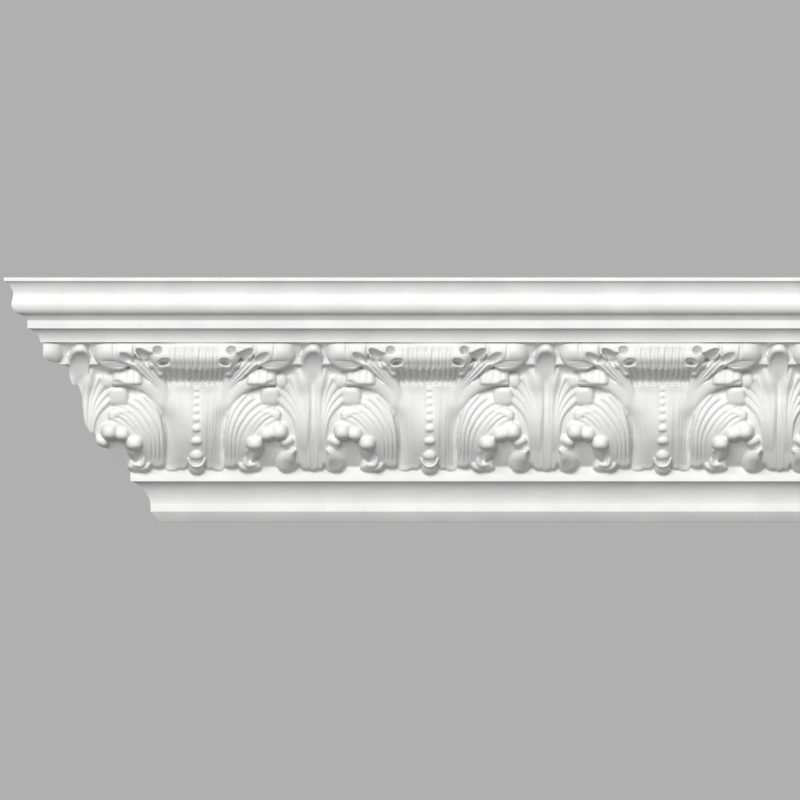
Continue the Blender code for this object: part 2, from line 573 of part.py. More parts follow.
def section_above(foot):
    """The section from the head of the carved band, over the crown and down the back to the wall."""
    points = [(foot[0] + BAND_REACH, foot[1] + BAND_RISE)]
    start = points[-1]
    head = (start[0] + UPPER_COVE_REACH, start[1] + UPPER_COVE_RISE)
    points += quarter_curve(start, head, COVE_POWER, hollow=True)
    points.append((head[0], head[1] + UPPER_FILLET_RISE))
    start = (points[-1][0] + CREASE_REACH, points[-1][1] + CREASE_RISE)
    points.append(start)
    head = (start[0] + OVOLO_REACH, start[1] + OVOLO_RISE)
    points += quarter_curve(start, head, OVOLO_POWER, hollow=False)
    for share in (1 / 3, 2 / 3, 1):
        points.append((head[0] - NECK_SET_BACK * float(ease(share)), head[1] + NECK_RISE * share))
    start = points[-1]
    head = (start[0] + CROWN_COVE_REACH, start[1] + CROWN_COVE_RISE)
    points += quarter_curve(start, head, COVE_POWER, hollow=True)
    points.append((head[0], head[1] + TOP_FILLET_RISE))
    points.append((head[0] - CEILING_LAND, points[-1][1]))
    points.append((0.0, WALL_LAND))
    return points


def place(x, projection, height):
    """A point of the model: the wall is the plane y = 0 and the room is on its -Y side."""
    return Vector((x, -projection, height - ORIGIN_RISE))


def clear_of_mitre(xs, projections):
    """Sinks what stands out again beyond the mitre, where the saw would leave a loose crumb."""
    beyond = np.flatnonzero(projections < -(xs + WALL_LENGTH / 2))
    if not len(beyond):
        return projections
    last = beyond[-1]
    limit = projections[last] + CRUMB_SLOPE * (xs[last] - xs[: last + 1])
    return np.concatenate([np.minimum(projections[: last + 1], limit), projections[last + 1 :]])


def fine_sheet(carving, left, right, foot):
    """The carved band as a fine open grid between two ends."""
    count = int(np.ceil((right - left) * SQUARES_ALONG / REPEAT / GRID_STEP))
    xs = np.linspace(left, right, count + 1)
    mitre_at_foot = -WALL_LENGTH / 2 - foot[0]
    squares = (xs - mitre_at_foot) * SQUARES_ALONG / REPEAT - MITRE_PLACE * SQUARES_ALONG
    on_panel = carving.leaned(squares)
    panel = carving.panel()
    mesh = bpy.data.meshes.new("carved_band")
    points = []
    for height, row in zip(panel.up, panel.depth):
        depths = np.interp(on_panel, panel.along, row)
        projections = clear_of_mitre(xs, foot[0] + depths * BAND_REACH / SQUARES_OUT)
        z = foot[1] + height * BAND_RISE / SQUARES_UP
        points += [place(x, projection, z) for x, projection in zip(xs, projections)]
    faces = []
    for row in range(len(panel.up) - 1):
        first = row * (count + 1)
        faces += [(i, i + 1, i + count + 2, i + count + 1) for i in range(first, first + count)]
    mesh.from_pydata(points, [], faces)
    return mesh


def thinned(mesh, triangles):
    """The same surface with about as many triangles as asked, closest together where it bends most."""
    helper = bpy.data.objects.new("carved_band", mesh)
    bpy.context.scene.collection.objects.link(helper)
    decimate = helper.modifiers.new("thin", "DECIMATE")
    decimate.ratio = min(1.0, triangles / (2 * len(mesh.polygons)))
    graph = bpy.context.evaluated_depsgraph_get()
    result = bpy.data.meshes.new_from_object(helper.evaluated_get(graph))
    bpy.data.objects.remove(helper)
    bpy.data.meshes.remove(mesh)
    return result


def sides_of(sheet, low_left, low_right, high_right, high_left):
    """The sheet's border points in order, as four lines from corner to corner: foot, right, top, left."""
    neighbours = {}
    for edge in (e for e in sheet.edges if e.is_boundary):
        for v in edge.verts:
            neighbours.setdefault(v, []).append(edge.other_vert(v))
    corners = [
        min(neighbours, key=lambda v: (v.co - corner).length)
        for corner in (low_left, low_right, high_right, high_left)
    ]
    loop = [corners[0]]
    following = max(neighbours[loop[0]], key=lambda v: v.co.x)
    while following is not loop[0]:
        loop.append(following)
        ahead, behind = neighbours[following]
        following = ahead if behind is loop[-2] else behind
    at = [loop.index(corner) for corner in corners] + [len(loop)]
    loop.append(loop[0])
    return [loop[i : j + 1] for i, j in zip(at, at[1:])]


def uncut_block(left, right):
    """The whole moulding as one closed body, with rough ends."""
    below = section_below()
    foot = below.pop()
    sheet_foot = (foot[0], foot[1] - OVERHANG * BAND_RISE / SQUARES_UP)
    above = section_above(foot)
    head = above.pop(0)
    triangles = TRIANGLES_PER_REPEAT * (right - left) / REPEAT
    sheet = thinned(fine_sheet(Carving(GRID_STEP), left, right, foot), triangles)
    block = bmesh.new()
    block.from_mesh(sheet)
    bpy.data.meshes.remove(sheet)
    corners = (place(left, *sheet_foot), place(right, *sheet_foot), place(right, *head), place(left, *head))
    lower, right_side, upper, left_side = sides_of(block, *corners)
    for line, point in ((lower, sheet_foot), (upper, head)):
        for v in line:
            v.co.yz = place(0, *point).yz
    rings = []
    for x, side in ((left, left_side[::-1]), (right, right_side)):
        low = [block.verts.new(place(x, *point)) for point in below]
        high = [block.verts.new(place(x, *point)) for point in above]
        block.faces.new([*low, *side, *high])
        rings.append([*high, *low])
    ring_left, ring_right = rings
    block.faces.new([ring_right[-1], ring_left[-1], *lower])
    block.faces.new([ring_left[0], ring_right[0], *upper])
    for a, b, c, d in zip(ring_left, ring_right, ring_right[1:], ring_left[1:]):
        block.faces.new([a, b, c, d])
    return block


def cut_end(block, point, outwards):
    """Saws an end off flat, along the plane through a point."""
    geometry = [*block.verts, *block.edges, *block.faces]
    cut = bmesh.ops.bisect_plane(block, geom=geometry, plane_co=point, plane_no=outwards, clear_outer=True)
    edges = [e for e in cut["geom_cut"] if isinstance(e, bmesh.types.BMEdge)]
    bmesh.ops.edgeloop_fill(block, edges=edges)


def white_casting():
    """Smooth white primed finish."""
    material = bpy.data.materials.new("white_casting")
    material.use_nodes = True
    shader = material.node_tree.nodes["Principled BSDF"]
    shader.inputs["Base Color"].default_value = (0.9, 0.9, 0.89, 1.0)
    shader.inputs["Roughness"].default_value = 0.55
    shader.inputs["Metallic"].default_value = 0.0
    return material


def make_cornice():
    """Builds the moulding: the block, mitred at 45 degrees at its left end and cut square at its right."""
    end = WALL_LENGTH / 2
    reach = max(projection for projection, _ in section_above(section_below()[-1]))
    block = uncut_block(-end - reach - MARGIN, end + MARGIN)
    cut_end(block, (-end, 0, 0), (-1, 1, 0))
    cut_end(block, (end, 0, 0), (1, 0, 0))
    bmesh.ops.recalc_face_normals(block, faces=block.faces)
    mesh = bpy.data.meshes.new("cornice_moulding")
    block.to_mesh(mesh)
    block.free()
    mesh.shade_smooth()
    mesh.set_sharp_from_angle(angle=SMOOTH_ANGLE)
    mesh.materials.append(white_casting())
    cornice = bpy.data.objects.new("cornice_moulding", mesh)
    bpy.context.scene.collection.objects.link(cornice)
    return cornice


def main():
    for obj in list(bpy.data.objects):
        bpy.data.objects.remove(obj)
    make_cornice()


main()
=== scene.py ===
"""Looks of a length of cornice moulding with a carved acanthus band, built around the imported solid.

One finely carved piece stands for the cast solid. Its section is drawn from the lowest edge upwards. Its
carving is a relief seen from the front, worked out on a panel of half a repeat that is mirrored and repeated
along the band.
"""

from __future__ import annotations

import logging
import math
from collections.abc import Mapping, Sequence
from dataclasses import dataclass, field
from enum import Enum

import bmesh
import bpy
import numpy as np
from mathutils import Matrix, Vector


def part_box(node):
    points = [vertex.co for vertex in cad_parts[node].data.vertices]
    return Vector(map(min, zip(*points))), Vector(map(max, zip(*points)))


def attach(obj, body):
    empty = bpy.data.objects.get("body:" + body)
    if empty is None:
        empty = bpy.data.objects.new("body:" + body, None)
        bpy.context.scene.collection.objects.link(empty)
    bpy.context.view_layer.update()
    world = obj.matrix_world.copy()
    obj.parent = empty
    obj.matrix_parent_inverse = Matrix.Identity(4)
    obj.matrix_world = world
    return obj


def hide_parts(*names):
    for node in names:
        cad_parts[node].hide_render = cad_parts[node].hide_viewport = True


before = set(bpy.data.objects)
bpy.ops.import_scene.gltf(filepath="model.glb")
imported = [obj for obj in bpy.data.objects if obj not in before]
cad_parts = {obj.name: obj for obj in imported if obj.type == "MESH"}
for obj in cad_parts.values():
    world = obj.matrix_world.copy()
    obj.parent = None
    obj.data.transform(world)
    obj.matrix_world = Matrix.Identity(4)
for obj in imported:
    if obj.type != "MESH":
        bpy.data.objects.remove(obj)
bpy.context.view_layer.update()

log = logging.getLogger("cornice")

Array = np.ndarray
Window = tuple[slice, slice]
Place = tuple[float, float]
Stations = Sequence[tuple[float, ...]]
Guide = tuple[Place, ...]
Colour = tuple[float, float, float, float]

# The carving is laid out in squares: 233 to a repeat, 128 up the band and 90 out from its foot to its head
SQUARES_ALONG = 233.0
SQUARES_UP = 128.0
SQUARES_OUT = 90.0
HALF = SQUARES_ALONG / 2
OVERHANG = 6.0  # squares that the relief runs on below the band's foot
LEAF_HEAD = 88.0  # height from which the acanthus leaf's surface stands out no further
FAR_BEHIND = -1000.0  # depth that nothing lies behind
LEAST_HALF = 0.3  # squares; no blade gets narrower than twice this
END_FALL = 0.9  # how far a blade's rounded ends fall, as a share of its crown


def ease(t: Array | float) -> Array:
    """A smooth step from 0 to 1 as t goes from 0 to 1."""
    t = np.clip(t, 0, 1)
    return t * t * (3 - 2 * t)


def through(at: Array, places: Sequence[float], values: Sequence[float]) -> Array:
    """Reads a smooth curve that passes through (place, value) pairs.

    Args:
        at: Where to read the curve.
        places: Rising places of the pairs.
        values: The value at each place.

    Returns:
        The curve's value at each place asked for.
    """
    x = np.asarray(places, float)
    y = np.asarray(values, float)
    slope = np.gradient(y, x)
    i = np.clip(np.searchsorted(x, at, side="right") - 1, 0, len(x) - 2)
    run = x[i + 1] - x[i]
    t = np.clip((at - x[i]) / run, 0, 1)
    return y[i] + (y[i + 1] - y[i]) * ease(t) + run * t * (1 - t) * (slope[i] * (1 - t) - slope[i + 1] * t)


def leaf_depth(height: Array | float) -> Array:
    """How far the acanthus leaf's own surface stands out at a height up the band."""
    heights = (-6, 0, 5, 10, 15, 20, 25, 30, 35, 40, 45, 50, 60, 70, 78, 85, 90, 94)
    depths = (3, 6, 10, 16, 22, 27.5, 32.5, 37, 40.5, 43.3, 45.5, 47, 48.3, 49, 50, 52.5, 56, 60)
    return through(np.asarray(height, float), heights, depths)


def ground_depth(height: Array) -> Array:
    """How far the plain hollow ground behind the leaves stands out at a height up the band."""
    heights = (-6, 0, 2.6, 6, 14, 22.3, 28, 33, 45, 55, 65, 78, 92, 98, 104, 114, 122, 128)
    depths = (0, 0, 0, 4.5, 14.5, 24, 29.5, 33, 39, 42, 44, 46, 49, 55, 63, 67.5, 74, 85)
    return through(np.asarray(height, float), heights, depths)


def smooth_line(stations: Stations, step: float = 0.7) -> Array:
    """Draws a smooth curve through stations.

    Args:
        stations: Rows of (along, up, further values), which are blended along with the curve.
        step: Distance between the curve's points, in squares.

    Returns:
        The curve's points, one row each, with the same columns as the stations.
    """
    p = np.asarray(stations, float)
    p = np.vstack([2 * p[0] - p[1], p, 2 * p[-1] - p[-2]])
    pieces = []
    for before, start, end, after in zip(p, p[1:], p[2:], p[3:]):
        count = max(2, int(np.hypot(*(end - start)[:2]) / step))
        t = np.linspace(0, 1, count, endpoint=False)[:, None]
        line = 2 * start + (end - before) * t
        square = 2 * before - 5 * start + 4 * end - after
        cube = 3 * start - 3 * end + after - before
        pieces.append(0.5 * (line + square * t**2 + cube * t**3))
    pieces.append(p[-2][None])
    return np.vstack(pieces)


def run_along(points: Array) -> Array:
    """The distance run to each point of a row of points."""
    steps = np.hypot(*np.diff(points[:, :2], axis=0).T)
    return np.concatenate([[0.0], np.cumsum(steps)])


def evenly(stations: Stations, count: int) -> Array:
    """Spaces points evenly along a guide line.

    Args:
        stations: The guide line's own points.
        count: How many points to make.

    Returns:
        The points, as rows of (along, up).
    """
    line = smooth_line(stations, 1.0)
    run = run_along(line)
    at = np.linspace(0, run[-1], count)
    return np.stack([np.interp(at, run, line[:, 0]), np.interp(at, run, line[:, 1])], 1)


def turned(x: Array, y: Array, angle: float) -> tuple[Array, Array]:
    """Reads offsets in axes that are turned by an angle.

    Args:
        x: Offsets along the band.
        y: Offsets up the band.
        angle: Turn of the new axes, in degrees.

    Returns:
        The offsets along the two turned axes.
    """
    c = math.cos(math.radians(angle))
    s = math.sin(math.radians(angle))
    return c * x + s * y, c * y - s * x


def blurred(values: Array, spread: float) -> Array:
    """Softens a grid of values.

    Args:
        values: The grid.
        spread: Standard deviation of the softening, in grid steps.

    Returns:
        The softened grid, of the same shape.
    """
    reach = int(3 * spread + 1)
    kernel = np.exp(-(np.arange(-reach, reach + 1) ** 2) / (2 * spread**2))
    kernel /= kernel.sum()
    padded = np.pad(values, reach, mode="edge")
    rows = np.apply_along_axis(lambda row: np.convolve(row, kernel, "valid"), 1, padded)
    return np.apply_along_axis(lambda column: np.convolve(column, kernel, "valid"), 0, rows)


class Panel:
    """The relief of half a repeat, from an acanthus leaf's axis to a tongue leaf's, as depth over a grid."""

    def __init__(self, step: float) -> None:
        """Lays out the plain ground.

        Args:
            step: Distance between the grid's points, in squares.
        """
        self.along = np.linspace(0, HALF, round(HALF / step) + 1)
        self.up = np.linspace(-OVERHANG, SQUARES_UP, round((OVERHANG + SQUARES_UP) / step) + 1)
        self.x, self.y = np.meshgrid(self.along, self.up)
        self.depth = ground_depth(self.y)

    def window(self, x_low: float, x_high: float, y_low: float, y_high: float) -> Window:
        """Finds the part of the grid that a rectangle covers.

        Args:
            x_low: Its side nearest the leaf's axis.
            x_high: Its far side.
            y_low: Its lower edge.
            y_high: Its upper edge.

        Returns:
            Slices of the grid's rows and columns.
        """
        rows = np.searchsorted(self.up, [y_low, y_high])
        columns = np.searchsorted(self.along, [x_low, x_high])
        return slice(*rows), slice(*columns)

    def near_line(self, stations: Stations, reach: float) -> tuple[Window, Array, Array, Array]:
        """Finds where the grid's points lie beside a line.

        Args:
            stations: The line's own points and the values that go with them.
            reach: How far from the line to look.

        Returns:
            The window that was looked at, and over it the blended columns of the stations, the offset to the
            left and the run past its ends.
        """
        line = smooth_line(stations)
        xs = line[:, 0]
        ys = line[:, 1]
        window = self.window(xs.min() - reach, xs.max() + reach, ys.min() - reach, ys.max() + reach)
        points = np.stack([self.x[window].ravel(), self.y[window].ravel()], 1)
        nearest = np.full(len(points), np.inf)
        index = np.zeros(len(points), int)
        part, side, past = np.zeros((3, len(points)))
        last = len(line) - 2
        for k, (start, end) in enumerate(zip(line[:-1, :2], line[1:, :2])):
            way = end - start
            length = np.hypot(*way)
            off = points - start
            t = off @ way / length**2
            inside = np.clip(t, 0, 1)
            gap = ((off - inside[:, None] * way) ** 2).sum(1)
            closer = gap < nearest
            nearest[closer] = gap[closer]
            index[closer] = k
            part[closer] = inside[closer]
            side[closer] = np.sign(way[0] * off[closer, 1] - way[1] * off[closer, 0])
            before = np.minimum(t[closer], 0) if k == 0 else 0
            after = np.maximum(t[closer] - 1, 0) if k == last else 0
            past[closer] = (before + after) * length
        columns = line[index] + part[:, None] * (line[index + 1] - line[index])
        offset = np.sqrt(np.maximum(nearest - past**2, 0)) * side
        shape = self.x[window].shape
        return window, columns.T.reshape(-1, *shape), offset.reshape(shape), past.reshape(shape)

    def around(self, middle: Place, half: Place, turn: float) -> tuple[Window, Array, Array]:
        """Finds where the grid's points lie about a place.

        Args:
            middle: The place, along and up.
            half: Half the width and half the height of what is to be carved there.
            turn: Turn of its axes, in degrees.

        Returns:
            The window that was looked at, and over it the offsets along the turned axes, as shares of the
            halves.
        """
        reach = max(half) + 1
        window = self.window(middle[0] - reach, middle[0] + reach, middle[1] - reach, middle[1] + reach)
        p, q = turned(self.x[window] - middle[0], self.y[window] - middle[1], turn)
        return window, p / half[0], q / half[1]

    def lay(self, window: Window, surface: Array, fillet: float) -> None:
        """Puts a surface over what is there.

        Args:
            window: Where on the grid it lies.
            surface: Its depths.
            fillet: How far apart in depth the two surfaces may be and still be joined by a soft valley.
        """
        there = self.depth[window]
        bridge = np.clip(fillet - np.abs(there - surface), 0, None) ** 2 / (4 * fillet) if fillet else 0.0
        self.depth[window] = np.maximum(there, surface) + bridge

    def lay_where(self, inside: Array, surface: Array, fillet: float) -> None:
        """Puts a surface over a part of the whole relief.

        Args:
            inside: Which of the grid's points it covers.
            surface: Its depths.
            fillet: How softly it joins what is there.
        """
        self.lay((slice(None), slice(None)), np.where(inside, surface, FAR_BEHIND), fillet)

    def blade(self, stations: Stations, crown: float, power: float = 2.0, fillet: float = 0.0) -> None:
        """Lays a leaf blade with rounded ends.

        Args:
            stations: Rows of (along, up, half width, depth of the crest).
            crown: How far its sides fall behind its crest.
            power: How late they fall: 2 is round, and more is flatter with a quicker edge.
            fillet: How softly it joins what is there.
        """
        widest = max(station[2] for station in stations)
        window, columns, offset, past = self.near_line(stations, widest + 2)
        half = np.maximum(columns[2], LEAST_HALF)
        u = offset / half
        end = np.abs(past) / half
        surface = columns[3] - crown * np.abs(u) ** power - END_FALL * crown * end**2
        self.lay(window, np.where(np.hypot(u, end) > 1, FAR_BEHIND, surface), fillet)

    def rib(
        self,
        guides: tuple[Stations, Stations],
        lifts: Place,
        crown: float,
        power: float = 2.4,
        overlap: float = 0.25,
        count: int = 9,
    ) -> None:
        """Lays a rib of the leaf between two guide lines.

        Args:
            guides: The valleys on its two sides.
            lifts: How far its crest stands out from the leaf's surface at its root and at its tip.
            crown: How far its sides fall behind its crest.
            power: How late they fall.
            overlap: How far it runs past each guide.
            count: How many stations it gets.
        """
        one, other = (evenly(guide, count) for guide in guides)
        middle = (one + other) / 2
        half = np.hypot(*(one - other).T) / 2 + overlap
        lift = lifts[0] + (lifts[1] - lifts[0]) * np.linspace(0, 1, count) ** 2
        crest = leaf_depth(np.minimum(middle[:, 1], LEAF_HEAD)) + lift
        self.blade(np.column_stack([middle, half, crest]), crown, power)

    def lump(
        self,
        middle: Place,
        half: Place,
        depth: float,
        fall: float,
        turn: float = 0.0,
        power: float = 2.0,
        tilt: float = 0.0,
        fillet: float = 0.0,
    ) -> None:
        """Lays a rounded lump.

        Args:
            middle: Its place, along and up.
            half: Half its width and half its height.
            depth: How far out its crest stands.
            fall: How far its rim lies behind its crest.
            turn: Turn of its axes, in degrees.
            power: Its outline: 2 is an ellipse, and more is squarer.
            tilt: How much further out its top stands than its middle.
            fillet: How softly it joins what is there.
        """
        window, p, q = self.around(middle, half, turn)
        r = np.abs(p) ** power + np.abs(q) ** power
        dome = depth - fall * (1 - np.sqrt(np.clip(1 - r, 0, None))) + tilt * q
        self.lay(window, np.where(r < 1, dome, FAR_BEHIND), fillet)

    def hollow(
        self,
        middle: Place,
        half: Place,
        depth: float,
        turn: float = 0.0,
        power: float = 1.5,
        under: float = 0.0,
    ) -> None:
        """Sinks a rounded hollow into what is there.

        Args:
            middle: Its place, along and up.
            half: Half its width and half its height.
            depth: How deep it is in the middle.
            turn: Turn of its axes, in degrees.
            power: How gently it starts: 1 has a plain rim, and more fades out.
            under: How much deeper it is at its lower side, so that its floor looks down.
        """
        window, p, q = self.around(middle, half, turn)
        r = np.clip(p**2 + q**2, 0, 1)
        self.depth[window] -= depth * (1 - r) ** power * (1 - under * np.clip(q, -1, 1))

    def groove(self, stations: Stations, width: float, depth: float) -> None:
        """Cuts a soft groove, or raises a ridge where the depth is negative.

        Args:
            stations: Rows of (along, up, share of the depth).
            width: Distance from its middle to its edge.
            depth: How deep it is.
        """
        window, columns, offset, past = self.near_line(stations, width + 1)
        self.depth[window] -= depth * columns[2] * ease(1 - np.hypot(offset, past) / width)


# Valleys between the ribs of the side leaf, from its root up and out to its tips
SIDE_GUIDES: tuple[Guide, ...] = (
    ((25.0, -2), (26.0, 14), (26.8, 30), (28.5, 46), (32.0, 58), (37, 70), (43, 80)),
    ((30.0, -2), (30.0, 15), (30.2, 33), (31.8, 45), (35.0, 57), (40.0, 66), (47, 76)),
    ((34.0, -2), (34.0, 15), (34.4, 35), (37.0, 47.5), (41.5, 59), (47.5, 67), (54, 74)),
    ((38.0, -2), (38.0, 15), (38.4, 33), (41.5, 46), (48, 58), (54.5, 66), (61, 71)),
    ((42.0, -2), (41.8, 15), (42.2, 31), (45.8, 42.5), (54, 54.5), (62, 62), (69, 66)),
    ((46.0, -2), (46.0, 12), (47, 29), (50.5, 38.5), (57, 48.5), (66.5, 57.5), (77, 62)),
    ((50.5, 18), (52, 27), (54.5, 37), (60.5, 45.8), (68.5, 53.5), (80, 59.3)),
    ((55, 24), (58.5, 35), (64.5, 43), (73, 50.8), (83, 55.8)),
    ((60, 27), (66, 37), (74, 44.5), (84, 50)),
)
# How far each of those ribs stands out from the leaf's surface, at its root and at its tip
SIDE_LIFTS = ((-16.0, 1.0), (-1.0, 1.8), (0.6, 1.4), (0.8, 0.6), (0.8, 0.4), (0.6, 0.8), (0.6, 1.6),
              (0.6, 1.2))
# Valleys between the ribs of the tongue leaf, from its stem to its edge, counted along from its own axis
FAN_GUIDES: tuple[Guide, ...] = (
    ((4.5, -5), (5.0, 20), (5.0, 43), (3.8, 62), (4.5, 80), (7.0, 96)),
    ((8.5, -5), (7.6, 25), (7.4, 43), (7.4, 62), (9.6, 82), (15.5, 107)),
    ((10.6, -5), (9.2, 25), (8.8, 43), (9.8, 62), (13.5, 82), (18, 95)),
    ((12.2, -5), (10.6, 25), (10.2, 43), (12.0, 60), (17, 77), (24, 90)),
    ((13.8, -5), (12.0, 25), (11.8, 43), (14.5, 58), (21, 72), (29, 82.5)),
    ((15.4, -5), (13.5, 25), (13.5, 43), (17.0, 56), (25, 68), (34.5, 77)),
    ((17.5, -5), (15.5, 25), (16, 43), (20.5, 54), (29, 63), (36, 70)),
)
# Beads on the acanthus leaf's axis: height up the band, half width and half height
BEADS = (
    (81.5, 3.6, 3.2),
    (74.6, 3.8, 3.3),
    (67.3, 4.1, 3.5),
    (59.5, 4.4, 3.7),
    (51.5, 4.8, 3.9),
    (42.2, 5.6, 4.4),
    (30.2, 7.0, 5.0),
    (17.2, 7.9, 7.6),
)
# Lobes along the lower edge: middle, half width and lowest point
EDGE_LOBES = (
    (0, 8, -4.8),
    (14, 4.5, 0.2),
    (23, 7, -1.2),
    (36, 5, 1.6),
    (56, 12, -2.2),
    (93, 9, -2.6),
    (110, 4.5, -0.6),
    (HALF, 4, -1.7),
)


@dataclass(frozen=True)
class TongueLeaf:
    """The upright leaf between two acanthus leaves: a fan of ribs, a stem and a spoon tip that leans out."""

    rib_crown: float = 6.0
    root_lift: float = -2.5
    tip_lifts: Place = (7.0, 2.5)
    seam_depth: float = 1.0

    def carve(self, panel: Panel) -> None:
        """Carves half of the leaf.

        Args:
            panel: The relief to carve in.
        """
        b = HALF
        panel.blade([(b - 11, -6, 14, 1), (b - 11, 20, 14, 24.5), (b - 12, 42, 15, 38.5),
                     (b - 16, 58, 17, 44.5), (b - 22, 72, 17, 45.5)], crown=2)
        for inner, outer in reversed(list(zip(FAN_GUIDES, FAN_GUIDES[1:]))):
            guides = tuple([(b - x, y) for x, y in guide] for guide in (inner, outer))
            tip = self.tip_lifts[0] if inner is FAN_GUIDES[0] else self.tip_lifts[1]
            panel.rib(guides, (self.root_lift, tip), crown=self.rib_crown, overlap=0.3)
        self.carve_spoon(panel, b)

    def carve_spoon(self, panel: Panel, b: float) -> None:
        """Carves the stem and its hollow tip with a rolled rim.

        Args:
            panel: The relief to carve in.
            b: The leaf's axis.
        """
        panel.blade([(b, -6, 4.6, 1), (b, 20, 4.8, 24.5), (b, 40, 4.6, 39.5), (b, 60, 4.4, 46.5),
                     (b, 74, 5, 48.5), (b, 86, 7, 53), (b, 96, 9, 60), (b, 104, 10.2, 66), (b, 110, 9.8, 72),
                     (b, 114, 8.6, 77.5), (b, 118, 7.0, 84.5)], crown=-1.5, power=2, fillet=3.5)
        panel.blade([(b - 9.2, 103, 1.0, 66.5), (b - 9.0, 108, 1.6, 72.5), (b - 8.2, 113, 2.4, 79.5),
                     (b - 6.4, 117.4, 3.4, 85.0), (b - 3.4, 120.4, 4.4, 88.6), (b, 121.4, 4.8, 89.6),
                     (b + 3.4, 120.4, 4.4, 88.6)], crown=4.5, power=2.4, fillet=3)
        panel.groove([(b - 1.6, 92, 0.2), (b - 1.4, 60, 1), (b - 1.8, 30, 1), (b - 2, 2, 0.6)], 1.8,
                     self.seam_depth)


@dataclass(frozen=True)
class SideLeaf:
    """The outer half of the acanthus leaf: ribs that fan out to a third tier of tips."""

    rib_crown: float = 4.6

    def carve(self, panel: Panel) -> None:
        """Carves the leaf's body, its third tier and its ribs.

        Args:
            panel: The relief to carve in.
        """
        panel.hollow((27, 24), (8, 44), 12, power=0.7)
        panel.blade([(43, -6, 13, 2), (43, 20, 13, 24.5), (48, 40, 16, 40.5), (54, 56, 18, 46),
                     (62, 72, 20, 46.5)], crown=2, fillet=1.5)
        panel.blade([(42, 58, 5, 47), (50, 68, 8, 48.5), (60, 75, 9, 49), (70, 76, 9, 49)], crown=2,
                    fillet=1.5)
        for guides, lifts in reversed(list(zip(zip(SIDE_GUIDES, SIDE_GUIDES[1:]), SIDE_LIFTS))):
            panel.rib(guides, lifts, crown=self.rib_crown)
        panel.blade([(68, 58.5, 2.8, 48.6), (75, 58.3, 3.6, 49.6), (81.5, 56, 5, 49.8)], crown=2.4, power=3,
                    fillet=1)
        panel.lump((75.6, 73.4), (10.0, 9.8), 54.5, 9.0, power=4.4, tilt=4.2, fillet=2.5)
        panel.hollow((60.5, 81.0), (14, 9.0), 6.0, turn=20)


@dataclass(frozen=True)
class LowerScroll:
    """The lobes that curl round the cave at the foot of the side leaf."""

    vein_height: float = 1.2

    def carve(self, panel: Panel) -> None:
        """Carves the three lobes, the tip beside the tongue leaf, and the foot.

        Args:
            panel: The relief to carve in.
        """
        panel.blade([(60, 36, 5, 41.0), (70, 42, 6.5, 45.0), (80, 46, 6.5, 46.5)], crown=3, fillet=1.5)
        panel.lump((93.2, 28.8), (7.8, 5.2), 38.5, 10, turn=28, power=2.4, tilt=1.5, fillet=0.8)
        panel.lump((85.0, 39.0), (8.8, 8.8), 51.5, 15, power=2.5, fillet=3)
        panel.lump((72.5, 36.4), (7.6, 6.8), 48.5, 11, power=2.5, fillet=4)
        panel.lump((60.3, 27.2), (8.8, 7.4), 45.0, 13, power=2.5, fillet=2)
        panel.blade([(60.3, 25, 8, 41.5), (60, 18, 6, 32), (58.6, 12, 3.6, 22.5), (58, 9, 2, 18)], crown=6,
                    fillet=1)
        self.carve_foot(panel)

    def carve_foot(self, panel: Panel) -> None:
        """Carves the teardrop, the hook and its base, and the thin veins in the cave.

        Args:
            panel: The relief to carve in.
        """
        panel.blade([(91, -3, 8.2, 6), (91, 4, 8.8, 15), (92.5, 11, 8.2, 25), (96, 16.5, 5, 31),
                     (99, 19, 2.6, 33)], crown=6, power=2.4, fillet=0.5)
        panel.blade([(56, -3, 11, 4.5), (56, 3, 11, 12.5), (56, 7, 9, 14)], crown=5)
        panel.blade([(50.8, 13, 1.4, 21), (51.2, 8.6, 2.6, 19.5), (53.8, 5.4, 3.2, 17.5), (60, 5.6, 2.4, 15)],
                    crown=3)
        for foot, head in ((64, 65), (67, 67.5), (77, 81), (80.5, 84)):
            middle = (foot + head) / 2
            panel.groove([(foot, 4, 0.3), (middle, 12, 1), (head, 20, 0.4)], 1.3, -self.vein_height)


@dataclass(frozen=True)
class SecondTier:
    """The blunt tips below the top curl."""

    crease_depths: tuple[float, ...] = (1.3, 1.0, 0.8)

    def carve(self, panel: Panel) -> None:
        """Carves the broad tip, its creases and the small lobes beside it.

        Args:
            panel: The relief to carve in.
        """
        panel.blade([(32, 54, 3.0, 38), (33, 64, 5.0, 48.0), (37.5, 75, 7.5, 52.5), (46.5, 85, 8.6, 57.5),
                     (57, 91, 9, 61.5), (67, 93.4, 8.8, 63)], crown=3.5, power=2.8, fillet=1.5)
        panel.lump((66.8, 93.9), (16.2, 9.8), 65.0, 15.0, power=7.0, tilt=-0.8, fillet=1.0)
        panel.hollow((76.5, 87.0), (7, 3.5), 4.0, turn=15)
        for along, depth in zip((59.5, 66.5, 74.5), self.crease_depths):
            panel.groove([(along - 1, 103, 0.3), (along, 97, 1), (along - 0.5, 88, 0.5)], 2.2, depth)
        panel.lump((87.0, 89.3), (6.6, 8.4), 58.8, 9, power=2.8, tilt=2.5, fillet=0.8)
        panel.lump((95.2, 98.6), (6.0, 3.6), 56, 7, power=2.4, tilt=2.0, fillet=0.8)
        panel.lump((98.6, 104.5), (3.4, 3.4), 60, 6, power=2.4, tilt=1.0)


